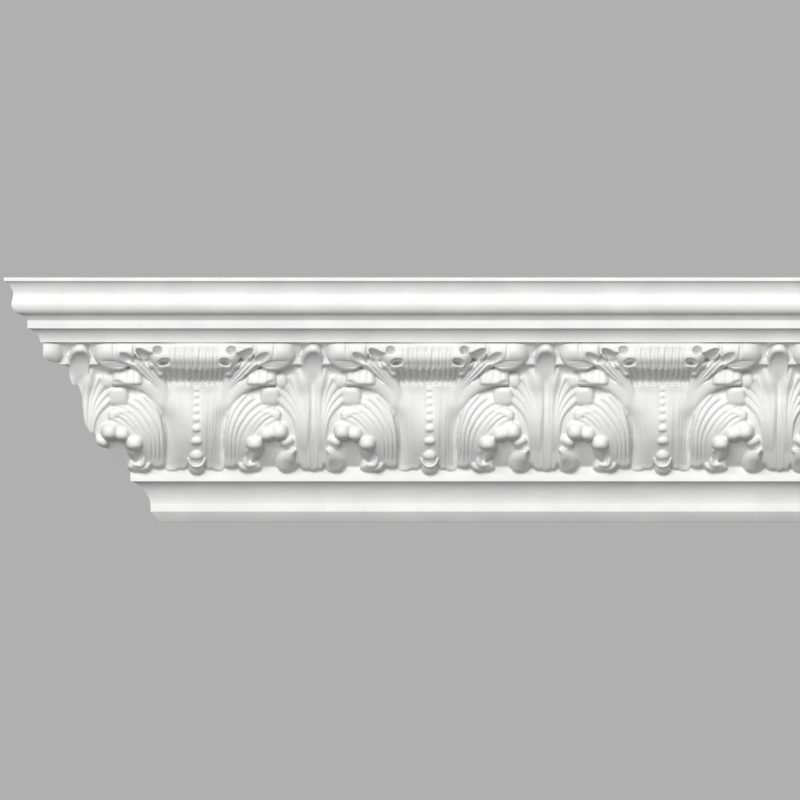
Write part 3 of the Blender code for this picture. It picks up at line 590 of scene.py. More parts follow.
@dataclass(frozen=True)
class TopCurl:
    """Strands that rise beside the middle leaf and turn over into a thick curl under the upper cove."""

    strands: int = 4
    strand_spacing: float = 3.2
    strand_depth: float = 2.8
    folds: int = 3
    fold_depth: float = 2.2
    end_start: float = 85.0
    end_length: float = 16.5
    end_drop: float = 17.0
    end_power: float = 2.3
    ledge_middle: float = 100.0
    ledge_half: float = 6.0
    ledge_foot: float = 104.6

    def carve(self, panel: Panel) -> None:
        """Carves the body, the hoods, the ball and the strands.

        Args:
            panel: The relief to carve in.
        """
        panel.blade([(24, 60, 4, 44), (29, 74, 5.5, 50.5), (35.5, 87, 6.5, 58), (44, 98, 7.2, 67),
                     (53, 105.5, 8, 74.5), (62, 111, 8.5, 79)], crown=2.5, power=2.6, fillet=2)
        panel.blade([(34, 98, 4.0, 71), (38, 107, 5.0, 78), (42, 116, 5.0, 80)], crown=3, fillet=2)
        panel.lump((42.5, 108), (6, 7), 76, 7, power=2.4, fillet=3)
        self.carve_shelf(panel)
        panel.lump((67.2, 119.6), (7.8, 9.4), 89.0, 12, power=2.6, fillet=2)
        panel.hollow((66.5, 111.8), (9.5, 4.4), 9.0, turn=30, power=0.8, under=0.7)
        panel.lump((52.2, 119.4), (9.8, 9.2), 88.0, 12, turn=15, power=2.6)
        panel.hollow((48.3, 114.0), (12.2, 4.9), 15.0, turn=33, power=0.7, under=0.8)
        for k in range(self.strands):
            self.carve_strand(panel, k * self.strand_spacing)
        panel.groove([(60.0, 126, 0.3), (60.2, 119, 1), (58.5, 112, 1), (54, 106.5, 0.4)], 2.6, 4.0)
        panel.groove([(80.5, 128, 0.4), (80.5, 121, 0.9), (79.5, 114.5, 0.6), (77, 108, 0.2)], 2.6, 3.0)
        for k in range(self.folds):
            panel.groove([(95 - 5 * k, 108.5 - 2.6 * k, 0.1), (82 - 4 * k, 108.5 - 2.6 * k, 0.8),
                          (70 - 4 * k, 106.5 - 2.4 * k, 1), (60 - 3 * k, 102.5 - 2.2 * k, 0.7)], 1.8,
                         self.fold_depth)

    def carve_shelf(self, panel: Panel) -> None:
        """Carves the curl's thick body, whose underside slopes back to the leaf, and the ledge at its end.

        Args:
            panel: The relief to carve in.
        """
        depth = through(panel.y, (96, 99.5, 104, 109, 113, 117, 122, 126, 128.5),
                        (60, 71, 77.0, 82.5, 86.8, 89.0, 89.4, 88, 82))
        foot = through(panel.x, (58, 62, 66, 70, 74, 80, 86, 92, 97, 102),
                       (117, 109.5, 104, 101.5, 100, 99.4, 100.6, 103.6, 108, 116))
        end = np.clip((panel.x - self.end_start) / self.end_length, 0, 1)
        rounded = self.end_drop * (1 - np.sqrt(1 - end**self.end_power))
        ledge = through(panel.y, (104, 108, 113, 121, 128), (70.4, 71, 72, 78.5, 85))
        beside = (np.abs(panel.x - self.ledge_middle) < self.ledge_half) & (panel.y > self.ledge_foot)
        panel.lay_where(beside, ledge, fillet=1)
        panel.lay_where((end < 1) & (panel.y > foot), depth - rounded, fillet=1.5)

    def carve_strand(self, panel: Panel, s: float) -> None:
        """Cuts the valley beside one strand.

        Args:
            panel: The relief to carve in.
            s: How far it lies outside the first strand.
        """
        panel.groove([(28.5 + 0.5 * s, 76, 0.0), (35.3 + 0.75 * s, 90.0 - 0.3 * s, 0.7),
                      (39.5 + 0.9 * s, 95.5 - 0.5 * s, 1.0), (45.5 + s, 103.6 - 0.7 * s, 1.3),
                      (52.6 + 1.1 * s, 111.8 - 0.75 * s, 1.2), (58 + 1.2 * s, 119 - 0.85 * s, 0.4)], 1.6,
                     self.strand_depth)


@dataclass(frozen=True)
class MiddleLeaf:
    """The inner half of the acanthus leaf: its tip turns forward into a fluted roll, with beads below."""

    edge_power: float = 2.3
    flutes: int = 12
    flute_depth: float = 8.0
    flute_head: float = 103.0
    flute_fade: float = 6.0
    scallop_height: float = 2.0
    roll_foot: float = 82.0
    roll_head: float = 108.0
    fold_height: float = 85.0
    roll_grooves: Stations = ((3, 1), (6.6, 0.5), (10.4, 1), (14.2, 0.5), (18.4, 0.9), (23, 0.4))
    roll_groove_width: float = 2.2
    roll_groove_depth: float = 2.8
    bead_lift: float = 3.2
    bead_sink: float = 1.6
    bead_fall: float = 8.0
    bead_fall_power: float = 1.4
    veins: Stations = ((6.8, 1.8, 0.9), (11.5, 4.0, 1.6), (14.5, 1.6, 0.9), (18, 2.0, 1.2), (21.5, 1.8, 1.2),
                       (25, 2, 1.4))

    def carve(self, panel: Panel) -> None:
        """Carves the leaf's middle, its roll and its beads.

        Args:
            panel: The relief to carve in.
        """
        half = through(panel.y, (-6, 20, 45, 60, 72, 86, 90), (31, 31, 31.5, 33, 35, 37, 38))
        fall = through(panel.y, (-6, 5, 20, 40, 50, 62, 90), (2, 8, 18, 22, 16, 4, 3))
        u = panel.x / half
        scallop = self.scallop_height * self.across_flute(u) ** 2
        surface = leaf_depth(np.minimum(panel.y, LEAF_HEAD)) - fall * np.abs(u) ** self.edge_power
        panel.lay_where((u < 1) & (panel.y < self.fold_height + scallop), surface, fillet=1.5)
        self.carve_roll(panel)
        for along, width, depth in self.veins:
            vein = [(along, 2, 0.6), (along, 25, 1), (along + 0.5, 50, 0.7), (along + 2, 78, 0.3)]
            panel.groove(vein, width, depth)
        self.carve_beads(panel)

    def across_flute(self, u: Array) -> Array:
        """Where each place lies across its flute, from -1 to 1."""
        return 2 * ((u * self.flutes / 2) % 1) - 1

    def carve_roll(self, panel: Panel) -> None:
        """Carves the fluted underside, the roll and its two scroll ends.

        Args:
            panel: The relief to carve in.
        """
        half = through(panel.y, (80, 86, 92, 98, 104, 110), (27, 31, 33.5, 35, 37, 38))
        u = panel.x / half
        depth = through(panel.y, (80, 85, 90, 94, 98, 101, 104, 108), (34, 42.5, 53, 62, 71.5, 78, 81.5, 84))
        fading = ease((self.flute_head - panel.y) / self.flute_fade)
        flute = self.flute_depth * fading * self.across_flute(u) ** 2
        inside = (u < 1) & (panel.y > self.roll_foot) & (panel.y < self.roll_head)
        panel.lay_where(inside, depth - flute, fillet=0)
        panel.blade([(-33, 115.6, 12.2, 89.8), (33, 115.6, 12.2, 89.8)], crown=11, power=2.3)
        for x, share in self.roll_grooves:
            line = [(0.96 * x, 102, share), (x, 110, share), (x + 0.6, 117, share), (x + 0.4, 124, 0)]
            panel.groove(line, self.roll_groove_width, self.roll_groove_depth)
        panel.lump((35.3, 116.5), (8.0, 10.6), 89.8, 14, turn=12, power=2.4, fillet=1)
        panel.lump((29.5, 106.8), (8.5, 6.0), 84, 10, turn=8, power=2.3, fillet=1)
        panel.hollow((37.0, 119.8), (4.4, 4.2), 15, power=0.6, under=0.6)
        panel.hollow((30.6, 108.0), (6.0, 3.6), 17, turn=-14, power=0.6, under=0.6)

    def carve_beads(self, panel: Panel) -> None:
        """Carves the channel along the axis, the beads in it and the cup under the last one.

        Args:
            panel: The relief to carve in.
        """
        panel.groove([(0, 4, 1), (0, 40, 0.8), (0, 86, 0.6)], 7, 2.6)
        for height, half_x, half_y in BEADS:
            size = half_x / BEADS[-1][1]
            crest = float(leaf_depth(height)) + self.bead_lift * size - self.bead_sink
            fall = self.bead_fall * size**self.bead_fall_power
            panel.lump((0, height), (half_x, half_y), crest, fall, power=2.3)
        panel.blade([(0, -5, 7, 6), (0, 2, 7.6, 14)], crown=4)
        panel.blade([(8.0, 11, 1.2, 19.5), (6.8, 7.4, 1.6, 18), (4.0, 4.6, 1.8, 17), (0, 3.6, 1.8, 17.5),
                     (-4, 4.6, 1.8, 17)], crown=2)


@dataclass(frozen=True)
class LowerEdge:
    """The scalloped line along which the leaves end on the fillet."""

    height: float = 2.8
    rounding: float = 3.0
    soft_rounding: float = 5.5
    lobe_power: float = 2.5
    deepest: float = 8.0

    def carve(self, panel: Panel) -> None:
        """Cuts the leaves off along the line and rounds them back to the fillet.

        Args:
            panel: The relief to carve in.
        """
        edge = np.full_like(panel.x, self.height)
        rounding = np.full_like(panel.x, self.soft_rounding)
        for middle, half, lowest in EDGE_LOBES:
            r = np.clip(np.abs(panel.x - middle) / half, 0, 1)
            lobe = np.sqrt(1 - r**self.lobe_power)
            edge = np.minimum(edge, self.height - (self.height - lowest) * lobe)
            rounding = np.minimum(rounding, self.soft_rounding - (self.soft_rounding - self.rounding) * lobe)
        k = np.clip((panel.y - edge) / rounding, 0, 1)
        panel.depth = np.maximum(panel.depth, -self.deepest) * np.sqrt(1 - (1 - k) ** 2)


@dataclass(frozen=True)
class Carving:
    """The whole relief, which any place on the band can be looked up in."""

    step: float = 0.6
    softness: float = 0.45
    lean: float = 2.2
    upright_middle: float = 6.0
    lean_grows: float = 24.0
    upright_end: float = 4.0
    lean_fades: float = 14.0

    def panel(self) -> Panel:
        """Carves the forms over each other, from the back to the front.

        Returns:
            The relief of half a repeat.
        """
        panel = Panel(self.step)
        forms = (TongueLeaf(), SideLeaf(), LowerScroll(), SecondTier(), TopCurl(), MiddleLeaf(), LowerEdge())
        for form in forms:
            form.carve(panel)
        panel.depth = blurred(np.minimum(panel.depth, SQUARES_OUT), self.softness / self.step)
        panel.depth[0] = 0.0
        panel.depth[-1] = SQUARES_OUT
        return panel

    def leaned(self, squares: Array) -> Array:
        """Folds places along the band onto the panel, with the slight lean that a leaf's halves have.

        Args:
            squares: Places along the band, in squares from an acanthus leaf's axis.

        Returns:
            Places on the panel, from 0 at the acanthus leaf's axis to half a repeat at the tongue leaf's.
        """
        from_axis = (squares + HALF) % SQUARES_ALONG - HALF
        place = np.abs(from_axis)
        grown = ease((place - self.upright_middle) / self.lean_grows)
        push = grown * ease((HALF - self.upright_end - place) / self.lean_fades)
        return np.clip(place + self.lean * push * np.sign(from_axis), 0, HALF)


@dataclass(frozen=True)
class Section:
    """The moulding's section: places of (projection, height above the lowest edge), in metres."""

    foot_depth: float = 0.0060
    chamfer: Place = (0.0069, 0.0073)
    listel_rise: float = 0.0050
    lower_cove: Place = (0.0141, 0.0161)
    lower_fillet_rise: float = 0.0080
    band: Place = (0.0630, 0.0896)
    upper_cove: Place = (0.0091, 0.0095)
    upper_fillet_rise: float = 0.0057
    crease: Place = (0.0043, 0.0041)
    ovolo: Place = (0.0069, 0.0071)
    neck_rise: float = 0.0072
    neck_set_back: float = 0.0013
    crown_cove: Place = (0.0066, 0.0090)
    top_fillet_rise: float = 0.0026
    wall_land: float = 0.0800
    ceiling_land: float = 0.0520
    cove_power: float = 1.6
    ovolo_power: float = 2.0
    curve_flats: int = 20
    arris_ease: float = 0.00045
    arris_flats: int = 3
    arris_turn: float = 0.3

    def quarter(self, start: Place, reach: Place, power: float, hollow: bool) -> list[Place]:
        """Draws a quarter curve that starts upright and ends level, or the other way round if it swells.

        Args:
            start: Its first place, which isn't repeated.
            reach: How far it goes out and up.
            power: Its fullness, where 2 is a true ellipse.
            hollow: Whether it is a cove and not an ovolo.

        Returns:
            The places after the first.
        """
        places = []
        for k in range(1, self.curve_flats + 1):
            angle = math.pi / 2 * k / self.curve_flats
            quick = math.sin(angle) ** (2 / power)
            slow = 1 - abs(math.cos(angle)) ** (2 / power)
            out, up = (slow, quick) if hollow else (quick, slow)
            places.append((start[0] + reach[0] * out, start[1] + reach[1] * up))
        return places

    def below(self) -> list[Place]:
        """Draws the section from the wall up to the foot of the carved band."""
        foot = self.foot_depth
        places = [(0.0, 0.0), (foot, 0.0), (foot + self.chamfer[0], self.chamfer[1])]
        places.append((places[-1][0], places[-1][1] + self.listel_rise))
        places += self.quarter(places[-1], self.lower_cove, self.cove_power, hollow=True)
        places.append((places[-1][0], places[-1][1] + self.lower_fillet_rise))
        return places

    def above(self, foot: Place) -> list[Place]:
        """Draws the section from the head of the carved band, over the crown and down the back to the wall.

        Args:
            foot: The foot of the carved band.

        Returns:
            The places, in order.
        """
        places = [(foot[0] + self.band[0], foot[1] + self.band[1])]
        places += self.quarter(places[-1], self.upper_cove, self.cove_power, hollow=True)
        places.append((places[-1][0], places[-1][1] + self.upper_fillet_rise))
        places.append((places[-1][0] + self.crease[0], places[-1][1] + self.crease[1]))
        places += self.quarter(places[-1], self.ovolo, self.ovolo_power, hollow=False)
        neck = places[-1]
        for share in np.linspace(0, 1, self.curve_flats // 3 + 1)[1:]:
            set_back = self.neck_set_back * float(ease(share))
            places.append((neck[0] - set_back, neck[1] + self.neck_rise * share))
        places += self.quarter(places[-1], self.crown_cove, self.cove_power, hollow=True)
        places.append((places[-1][0], places[-1][1] + self.top_fillet_rise))
        places.append((places[-1][0] - self.ceiling_land, places[-1][1]))
        places.append((0.0, self.wall_land))
        return places

    def eased(self, places: list[Place]) -> list[Place]:
        """Softens the arrises and inner corners of a stretch of the section, apart from its two ends.

        Args:
            places: The stretch, with sharp corners.

        Returns:
            The stretch with a few places in the room of each corner.
        """
        soft = [places[0]]
        for before, corner, after in zip(places, places[1:], places[2:]):
            way_in = Vector(corner) - Vector(before)
            way_out = Vector(after) - Vector(corner)
            if way_in.angle(way_out) < self.arris_turn:
                soft.append(corner)
                continue
            start = Vector(corner) - way_in.normalized() * min(self.arris_ease, way_in.length / 2)
            end = Vector(corner) + way_out.normalized() * min(self.arris_ease, way_out.length / 2)
            for k in range(self.arris_flats + 1):
                t = k / self.arris_flats
                place = start * (1 - t) ** 2 + Vector(corner) * 2 * t * (1 - t) + end * t**2
                soft.append((place.x, place.y))
        return [*soft, places[-1]]


class EndCut(Enum):
    """How an end of the length is sawn: the direction that its face looks in."""

    MITRE = (-1.0, 1.0, 0.0)
    SQUARE = (1.0, 0.0, 0.0)


@dataclass
class Cornice:
    """One cast length: the block with its carved band, mitred at its left end and cut square at its right."""

    name: str
    node: str
    left_cut: EndCut = EndCut.MITRE
    right_cut: EndCut = EndCut.SQUARE
    repeat: float = 0.1631
    mitre_place: float = 0.284
    triangles: int = 190000
    margin: float = 0.004
    crumb_slope: float = 0.5
    sharp_turn: float = 0.35
    section: Section = field(default_factory=Section)
    carving: Carving = field(default_factory=Carving)

    def __post_init__(self) -> None:
        """Takes the length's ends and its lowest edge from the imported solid."""
        low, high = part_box(self.node)
        self.lowest = low[2]
        self.right = high[0]
        self.left = low[0] - self.margin
        self.mitre_corner = low[0] - low[1]

    def place(self, x: float, at: Place) -> Vector:
        """Turns a place on the section into a point in the room."""
        return Vector((x, -at[0], at[1] + self.lowest))

    def sheet(self, foot: Place) -> bpy.types.Mesh:
        """Makes the carved band as a fine open grid, a little longer than the finished length.

        Args:
            foot: The foot of the band on the section.

        Returns:
            The grid.
        """
        panel = self.carving.panel()
        right = self.right + self.margin
        count = math.ceil((right - self.left) * SQUARES_ALONG / self.repeat / self.carving.step)
        xs = np.linspace(self.left, right, count + 1)
        squares = (xs - self.mitre_corner + foot[0]) * SQUARES_ALONG / self.repeat
        squares = squares - self.mitre_place * SQUARES_ALONG
        on_panel = self.carving.leaned(squares)
        depths = np.stack([np.interp(on_panel, panel.along, row) for row in panel.depth])
        out = foot[0] + depths * self.section.band[0] / SQUARES_OUT
        points = np.empty((*depths.shape, 3))
        points[..., 0] = xs
        points[..., 1] = -np.stack([self.clear_of_mitre(xs, row) for row in out])
        points[..., 2] = self.lowest + foot[1] + panel.up[:, None] * self.section.band[1] / SQUARES_UP
        corners = np.arange(depths.size).reshape(depths.shape)
        loops = [corners[:-1, :-1], corners[:-1, 1:], corners[1:, 1:], corners[1:, :-1]]
        quads = np.stack(loops, -1).reshape(-1, 4)
        mesh = bpy.data.meshes.new("carved_band")
        mesh.from_pydata(points.reshape(-1, 3), [], quads)
        return mesh

    def clear_of_mitre(self, xs: Array, out: Array) -> Array:
        """Sinks what stands out again beyond the mitre, where the saw would leave a loose crumb.

        Args:
            xs: Rising places along the wall.
            out: How far the carving stands out from the wall at each of them.

        Returns:
            The same, sunk beyond the place where the surface first passes the mitre.
        """
        beyond = np.flatnonzero(out < self.mitre_corner - xs)
        if not len(beyond):
            return out
        last = beyond[-1]
        limit = out[last] + self.crumb_slope * (xs[last] - xs[: last + 1])
        return np.concatenate([np.minimum(out[: last + 1], limit), out[last + 1 :]])

    def thinned(self, mesh: bpy.types.Mesh) -> bpy.types.Mesh:
        """Thins a mesh out where it is nearly flat.

        Args:
            mesh: The mesh, which is used up.

        Returns:
            The same surface with about as many triangles as the length may have.
        """
        helper = bpy.data.objects.new("carved_band", mesh)
        bpy.context.scene.collection.objects.link(helper)
        decimate = helper.modifiers.new("thin", "DECIMATE")
        decimate.ratio = min(1.0, self.triangles / (2 * len(mesh.polygons)))
        result = bpy.data.meshes.new_from_object(helper.evaluated_get(bpy.context.evaluated_depsgraph_get()))
        bpy.data.objects.remove(helper)
        bpy.data.meshes.remove(mesh)
        return result

    def sides(self, block: bmesh.types.BMesh, corners: Sequence[Vector]) -> list[list[bmesh.types.BMVert]]:
        """Walks round the border of the carved sheet.

        Args:
            block: The sheet.
            corners: Its lower left, lower right, upper right and upper left corners.

        Returns:
            The border's points as four lines from corner to corner: lower, right, upper and left.
        """
        neighbours: dict[bmesh.types.BMVert, list[bmesh.types.BMVert]] = {}
        for edge in (e for e in block.edges if e.is_boundary):
            for v in edge.verts:
                neighbours.setdefault(v, []).append(edge.other_vert(v))
        found = [min(neighbours, key=lambda v: (v.co - corner).length) for corner in corners]
        loop = [found[0]]
        following = max(neighbours[loop[0]], key=lambda v: v.co.x)
        while following is not loop[0]:
            loop.append(following)
            ahead, behind = neighbours[following]
            following = ahead if behind is loop[-2] else behind
        at = [loop.index(corner) for corner in found] + [len(loop)]
        loop.append(loop[0])
        return [loop[i : j + 1] for i, j in zip(at, at[1:])]

    def block(self) -> bmesh.types.BMesh:
        """Closes the carved sheet with the mouldings, the back and two rough ends.

        Returns:
            The uncut block, whose carved faces are marked in the "carved" layer.
        """
        below = self.section.below()
        foot = below.pop()
        sheet_foot = (foot[0], foot[1] - OVERHANG * self.section.band[1] / SQUARES_UP)
        below = self.section.eased([*below, sheet_foot])[:-1]
        above = self.section.eased([foot, *self.section.above(foot)])[2:]
        head = (foot[0] + self.section.band[0], foot[1] + self.section.band[1])
        ends = (self.left, self.right + self.margin)
        block = bmesh.new()
        block.from_mesh(self.thinned(self.sheet(foot)))
        carved = block.faces.layers.int.new("carved")
        for face in block.faces:
            face[carved] = 1
        at = ((ends[0], sheet_foot), (ends[1], sheet_foot), (ends[1], head), (ends[0], head))
        lower, right_side, upper, left_side = self.sides(block, [self.place(x, place) for x, place in at])
        for line, place in ((lower, sheet_foot), (upper, head)):
            for v in line:
                v.co.yz = self.place(0, place).yz
        rings = []
        for x, side in zip(ends, (left_side[::-1], right_side)):
            low = [block.verts.new(self.place(x, place)) for place in below]
            high = [block.verts.new(self.place(x, place)) for place in above]
            block.faces.new([*low, *side, *high])
            rings.append([*high, *low])
        block.faces.new([rings[1][-1], rings[0][-1], *lower])
        block.faces.new([rings[0][0], rings[1][0], *upper])
        for a, b, c, d in zip(rings[0], rings[1], rings[1][1:], rings[0][1:]):
            block.faces.new([a, b, c, d])
        return block

    def saw(self, block: bmesh.types.BMesh, cut: EndCut, x: float) -> None:
        """Saws an end off flat.

        Args:
            block: The block.
            cut: Which cut it gets.
            x: Where the cut meets the wall.
        """
        geometry = [*block.verts, *block.edges, *block.faces]
        made = bmesh.ops.bisect_plane(block, geom=geometry, plane_co=(x, 0, 0), plane_no=cut.value,
                                      clear_outer=True)
        edges = [e for e in made["geom_cut"] if isinstance(e, bmesh.types.BMEdge)]
        bmesh.ops.edgeloop_fill(block, edges=edges)

    def build(self) -> bpy.types.Object:
        """Makes the finished piece.

        Returns:
            Its object, which has no finish yet.
        """
        block = self.block()
        self.saw(block, self.left_cut, self.mitre_corner)
        self.saw(block, self.right_cut, self.right)
        bmesh.ops.recalc_face_normals(block, faces=block.faces)
        carved = block.faces.layers.int["carved"]
        for face in block.faces:
            face.smooth = True
        for edge in block.edges:
            plain = not all(face[carved] for face in edge.link_faces)
            edge.smooth = not (plain and edge.calc_face_angle(0.0) > self.sharp_turn)
        block.faces.layers.int.remove(carved)
        mesh = bpy.data.meshes.new(self.name)
        block.to_mesh(mesh)
        block.free()
        piece = bpy.data.objects.new(self.name, mesh)
        bpy.context.scene.collection.objects.link(piece)
        return piece

    def dress(self, piece: bpy.types.Object, finish: WhiteCasting) -> None:
        """Gives the piece its finish and its place in the frame.

        Args:
            piece: The built piece.
            finish: What it is finished with.
        """
        piece.data.materials.append(finish.material())
        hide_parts(self.node)
        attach(piece, "root")


class Value:
    """A number that changes over a surface, which can be used in sums like any other number."""

    def __init__(self, graph: Graph, socket: bpy.types.NodeSocket) -> None:
        """Wraps the socket of a node that gives the number."""
        self.graph = graph
        self.socket = socket

    def __add__(self, other: Value | float) -> Value:
        """Adds."""
        return self.graph.maths("ADD", self, other)

    def __radd__(self, other: float) -> Value:
        """Adds, with the number first."""
        return self.graph.maths("ADD", other, self)

    def __sub__(self, other: Value | float) -> Value:
        """Subtracts."""
        return self.graph.maths("SUBTRACT", self, other)

    def __rsub__(self, other: float) -> Value:
        """Subtracts, with the number first."""
        return self.graph.maths("SUBTRACT", other, self)

    def __mul__(self, other: Value | float) -> Value:
        """Multiplies."""
        return self.graph.maths("MULTIPLY", self, other)

    def __rmul__(self, other: float) -> Value:
        """Multiplies, with the number first."""
        return self.graph.maths("MULTIPLY", other, self)


class Graph:
    """The nodes of one material or world."""

    def __init__(self, tree: bpy.types.NodeTree) -> None:
        """Takes an empty node tree.

        Args:
            tree: The tree, whose nodes are cleared.
        """
        self.tree = tree
        tree.nodes.clear()

    def node(self, kind: str, settings: Mapping[str, object], inputs: Mapping[str, object]) -> bpy.types.Node:
        """Adds a node.

        Args:
            kind: The node's type.
            settings: Its own settings, which are set first.
            inputs: What its sockets get: a value, a number or a socket to link.

        Returns:
            The node.
        """
        node = self.tree.nodes.new(kind)
        for name, setting in settings.items():
            setattr(node, name, setting)
        for name, given in inputs.items():
            self.feed(self.socket_of(node, name), given)
        return node

    def socket_of(self, node: bpy.types.Node, name: str) -> bpy.types.NodeSocket:
        """Finds the socket in use that has a name."""
        return next(socket for socket in node.inputs if socket.name == name and socket.enabled)

    def feed(self, socket: bpy.types.NodeSocket, given: object) -> None:
        """Links or sets a socket.

        Args:
            socket: The socket.
            given: A value, another node's socket, or a number or row of numbers.
        """
        if isinstance(given, Value):
            self.tree.links.new(given.socket, socket)
        elif isinstance(given, bpy.types.NodeSocket):
            self.tree.links.new(given, socket)
        else:
            socket.default_value = given

    def maths(self, operation: str, first: Value | float, second: Value | float) -> Value:
        """Adds a Math node.

        Args:
            operation: What it does.
            first: Its first number.
            second: Its second number.

        Returns:
            What comes out of it.
        """
        node = self.tree.nodes.new("ShaderNodeMath")
        node.operation = operation
        for socket, given in zip(node.inputs, (first, second)):
            self.feed(socket, given)
        return Value(self, node.outputs[0])

    def noise(self, at: bpy.types.NodeSocket, size: float, detail: float = 2.0,
              roughness: float = 0.5) -> Value:
        """Adds cloudy noise around zero.

        Args:
            at: The coordinates.
            size: Rough size of its blotches, in metres.
            detail: How many finer layers it has.
            roughness: How strong the finer layers are.

        Returns:
            The noise, mostly within -0.5 to 0.5.
        """
        inputs = {"Vector": at, "Scale": 1 / size, "Detail": detail, "Roughness": roughness}
        node = self.node("ShaderNodeTexNoise", {"noise_dimensions": "3D"}, inputs)
        return Value(self, node.outputs[0]) - 0.5

    def spread(self, value: Value, low: float, high: float) -> Value:
        """Turns a range of a value into 0 to 1, with soft ends.

        Args:
            value: The value.
            low: What becomes 0.
            high: What becomes 1.

        Returns:
            The new value.
        """
        settings = {"interpolation_type": "SMOOTHSTEP", "clamp": True}
        node = self.node("ShaderNodeMapRange", settings, {"Value": value, "From Min": low, "From Max": high})
        return Value(self, node.outputs[0])

    def mixed(self, share: Value | float, first: object, second: object) -> bpy.types.NodeSocket:
        """Mixes two colours.

        Args:
            share: How much there is of the second.
            first: The first colour, or a socket that gives it.
            second: The second.

        Returns:
            The socket with the mixed colour.
        """
        node = self.node("ShaderNodeMix", {"data_type": "RGBA"}, {"Factor": share, "A": first, "B": second})
        return next(socket for socket in node.outputs if socket.enabled)


@dataclass(frozen=True)
class WhiteCasting:
    """Smooth white primed casting: nearly even, faintly clouded, with a fine grain, a few darker pinholes and
    painted shade in its hollows.
    """

    name: str = "white_casting"
    white: Colour = (0.875, 0.875, 0.868, 1.0)
    shade: Colour = (0.800, 0.802, 0.796, 1.0)
    # Painted shade: the grey that the base colour goes towards in concave hollows, and also in the pinholes
    painted_shade_and_pit_grey: Colour = (0.690, 0.690, 0.680, 1.0)
    roughness: float = 0.52
    roughness_swing: float = 0.12
    cloud_size: float = 0.028
    grain_size: float = 0.0011
    grain_height: float = 0.00004
    wave_size: float = 0.009
    wave_height: float = 0.00012
    pinhole_size: float = 0.0045
    pinhole_reach: float = 0.11
    # Painted shade: how far concave hollows are darkened towards that grey, standing in for the shade that
    # falls there
    painted_shade_in_hollows: float = 0.55
    # How much darker the base colour goes in the pinholes
    darkening_in_pinholes: float = 0.5
    roughness_in_hollows: float = 0.1
    roughness_of_grain: float = 0.04
    refraction: float = 1.46

    def material(self) -> bpy.types.Material:
        """Makes the material.

        Returns:
            The material, ready for a slot.
        """
        material = bpy.data.materials.new(self.name)
        material.use_nodes = True
        graph = Graph(material.node_tree)
        at = graph.node("ShaderNodeTexCoord", {}, {}).outputs["Object"]
        pointed = Value(graph, graph.node("ShaderNodeNewGeometry", {}, {}).outputs["Pointiness"])
        clouds = graph.noise(at, self.cloud_size, detail=4.0)
        grain = graph.noise(at, self.grain_size, detail=2.0, roughness=0.6)
        waves = graph.noise(at, self.wave_size)
        pinholes = self.pinholes(graph, at)
        # 1 on concave surfaces: painted shade goes into the base colour there, and they get rougher
        hollow = 1 - graph.spread(pointed, 0.40, 0.50)
        cloudy = graph.mixed(graph.spread(clouds, -0.2, 0.25), self.shade, self.white)
        # Painted shade in the hollows, plus the darker pinholes
        painted_shade_and_pits = self.painted_shade_in_hollows * hollow + self.darkening_in_pinholes * pinholes
        colour = graph.mixed(painted_shade_and_pits, cloudy, self.painted_shade_and_pit_grey)
        height = grain * self.grain_height + waves * self.wave_height - pinholes * (3 * self.grain_height)
        bump = graph.node("ShaderNodeBump", {}, {"Height": height, "Strength": 1.0, "Distance": 1.0})
        rough = self.roughness + clouds * self.roughness_swing + self.roughness_in_hollows * hollow
        rough = rough + grain * self.roughness_of_grain
        sockets = {"Base Color": colour, "Roughness": rough, "Normal": bump.outputs[0]}
        shader = graph.node("ShaderNodeBsdfPrincipled", {}, {**sockets, "IOR": self.refraction})
        graph.node("ShaderNodeOutputMaterial", {}, {"Surface": shader.outputs[0]})
        return material

    def pinholes(self, graph: Graph, at: bpy.types.NodeSocket) -> Value:
        """Scatters the tiny pits that bubbles leave in a casting.

        Args:
            graph: The material's nodes.
            at: The coordinates.

        Returns:
            1 in a pit and 0 beside it.
        """
        cells = graph.node("ShaderNodeTexVoronoi", {"feature": "F1"},
                           {"Vector": at, "Scale": 1 / self.pinhole_size})
        near = Value(graph, cells.outputs["Distance"])
        return 1 - graph.spread(near, 0.4 * self.pinhole_reach, self.pinhole_reach)


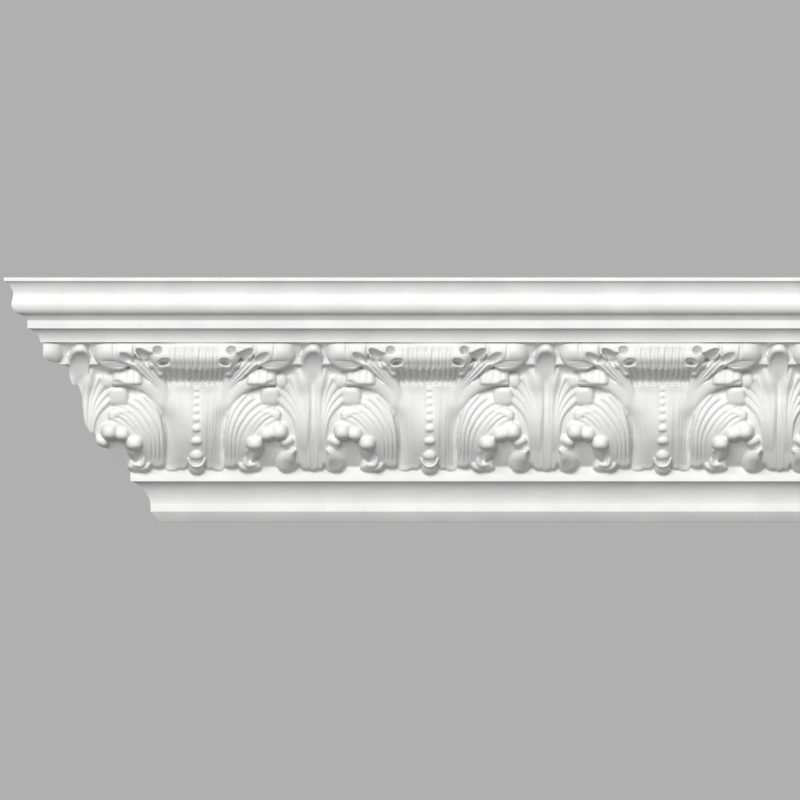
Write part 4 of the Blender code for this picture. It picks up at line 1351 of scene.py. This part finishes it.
@dataclass(frozen=True)
class Studio:
    """The plain surroundings: a pale floor well below, a soft key light from in front and a grey room."""

    floor_height: float = -0.75
    floor_half: float = 3.0
    floor_colour: Colour = (0.55, 0.55, 0.55, 1.0)
    floor_roughness: float = 0.9
    backdrop: float = 0.434
    light_above: float = 0.26
    light_below: float = 0.19
    key_strength: float = 2.95
    key_rise: float = 21.0
    key_side: float = 10.0
    key_softness: float = 24.0
    view_width: float = 0.56
    view_middle: Place = (-0.0592, 0.0454)
    view_distance: float = 2.0

    def lay_floor(self) -> None:
        """Lays the floor."""
        mesh = bpy.data.meshes.new("floor")
        half = self.floor_half
        plan = ((-half, -half), (half, -half), (half, half), (-half, half))
        corners = [(x, y, self.floor_height) for x, y in plan]
        mesh.from_pydata(corners, [], [(0, 1, 2, 3)])
        material = bpy.data.materials.new("pale_floor")
        material.use_nodes = True
        shader = material.node_tree.nodes["Principled BSDF"]
        shader.inputs["Base Color"].default_value = self.floor_colour
        shader.inputs["Roughness"].default_value = self.floor_roughness
        mesh.materials.append(material)
        floor = bpy.data.objects.new("floor", mesh)
        floor.visible_diffuse = False
        bpy.context.scene.collection.objects.link(floor)

    def light(self) -> None:
        """Hangs the key light and fills the room with even light."""
        lamp = bpy.data.lights.new("key", "SUN")
        lamp.energy = self.key_strength
        lamp.angle = math.radians(self.key_softness)
        key = bpy.data.objects.new("key", lamp)
        rise = math.radians(self.key_rise)
        side = math.radians(self.key_side)
        towards = Vector((-math.sin(side) * math.cos(rise), -math.cos(side) * math.cos(rise), math.sin(rise)))
        key.rotation_euler = towards.to_track_quat("Z", "Y").to_euler()
        bpy.context.scene.collection.objects.link(key)
        world = bpy.data.worlds.new("room")
        world.use_nodes = True
        bpy.context.scene.world = world
        graph = Graph(world.node_tree)
        seen = graph.node("ShaderNodeLightPath", {}, {}).outputs["Is Camera Ray"]
        way = graph.node("ShaderNodeTexCoord", {}, {}).outputs["Generated"]
        up = Value(graph, graph.node("ShaderNodeSeparateXYZ", {}, {"Vector": way}).outputs["Z"])
        evenly_lit = self.light_below + (self.light_above - self.light_below) * graph.spread(up, -0.4, 0.5)
        room = graph.node("ShaderNodeBackground", {}, {"Color": (1, 1, 1, 1), "Strength": evenly_lit})
        backdrop = graph.node("ShaderNodeBackground", {}, {"Color": (1, 1, 1, 1), "Strength": self.backdrop})
        mix = graph.node("ShaderNodeMixShader", {}, {})
        for socket, given in zip(mix.inputs, (seen, room.outputs[0], backdrop.outputs[0])):
            graph.feed(socket, given)
        graph.node("ShaderNodeOutputWorld", {}, {"Surface": mix.outputs[0]})

    def set_camera(self) -> None:
        """Sets the camera up straight in front, and shows tones as they are."""
        camera = bpy.data.cameras.new("camera")
        camera.type = "ORTHO"
        camera.ortho_scale = self.view_width
        holder = bpy.data.objects.new("camera", camera)
        holder.location = (self.view_middle[0], -self.view_distance, self.view_middle[1])
        holder.rotation_euler = (math.pi / 2, 0.0, 0.0)
        bpy.context.scene.collection.objects.link(holder)
        bpy.context.scene.camera = holder
        bpy.context.scene.view_settings.view_transform = "Standard"

    def build(self) -> None:
        """Builds the surroundings."""
        self.lay_floor()
        self.light()
        self.set_camera()


def main() -> None:
    """Builds the surroundings and the cornice."""
    logging.basicConfig(level=logging.INFO, format="%(name)s: %(message)s")
    Studio().build()
    cornice = Cornice("cornice_casting", "cornice_moulding")
    piece = cornice.build()
    cornice.dress(piece, WhiteCasting())
    log.info("%s: %d faces", piece.name, len(piece.data.polygons))


if __name__ == "__main__":
    main()
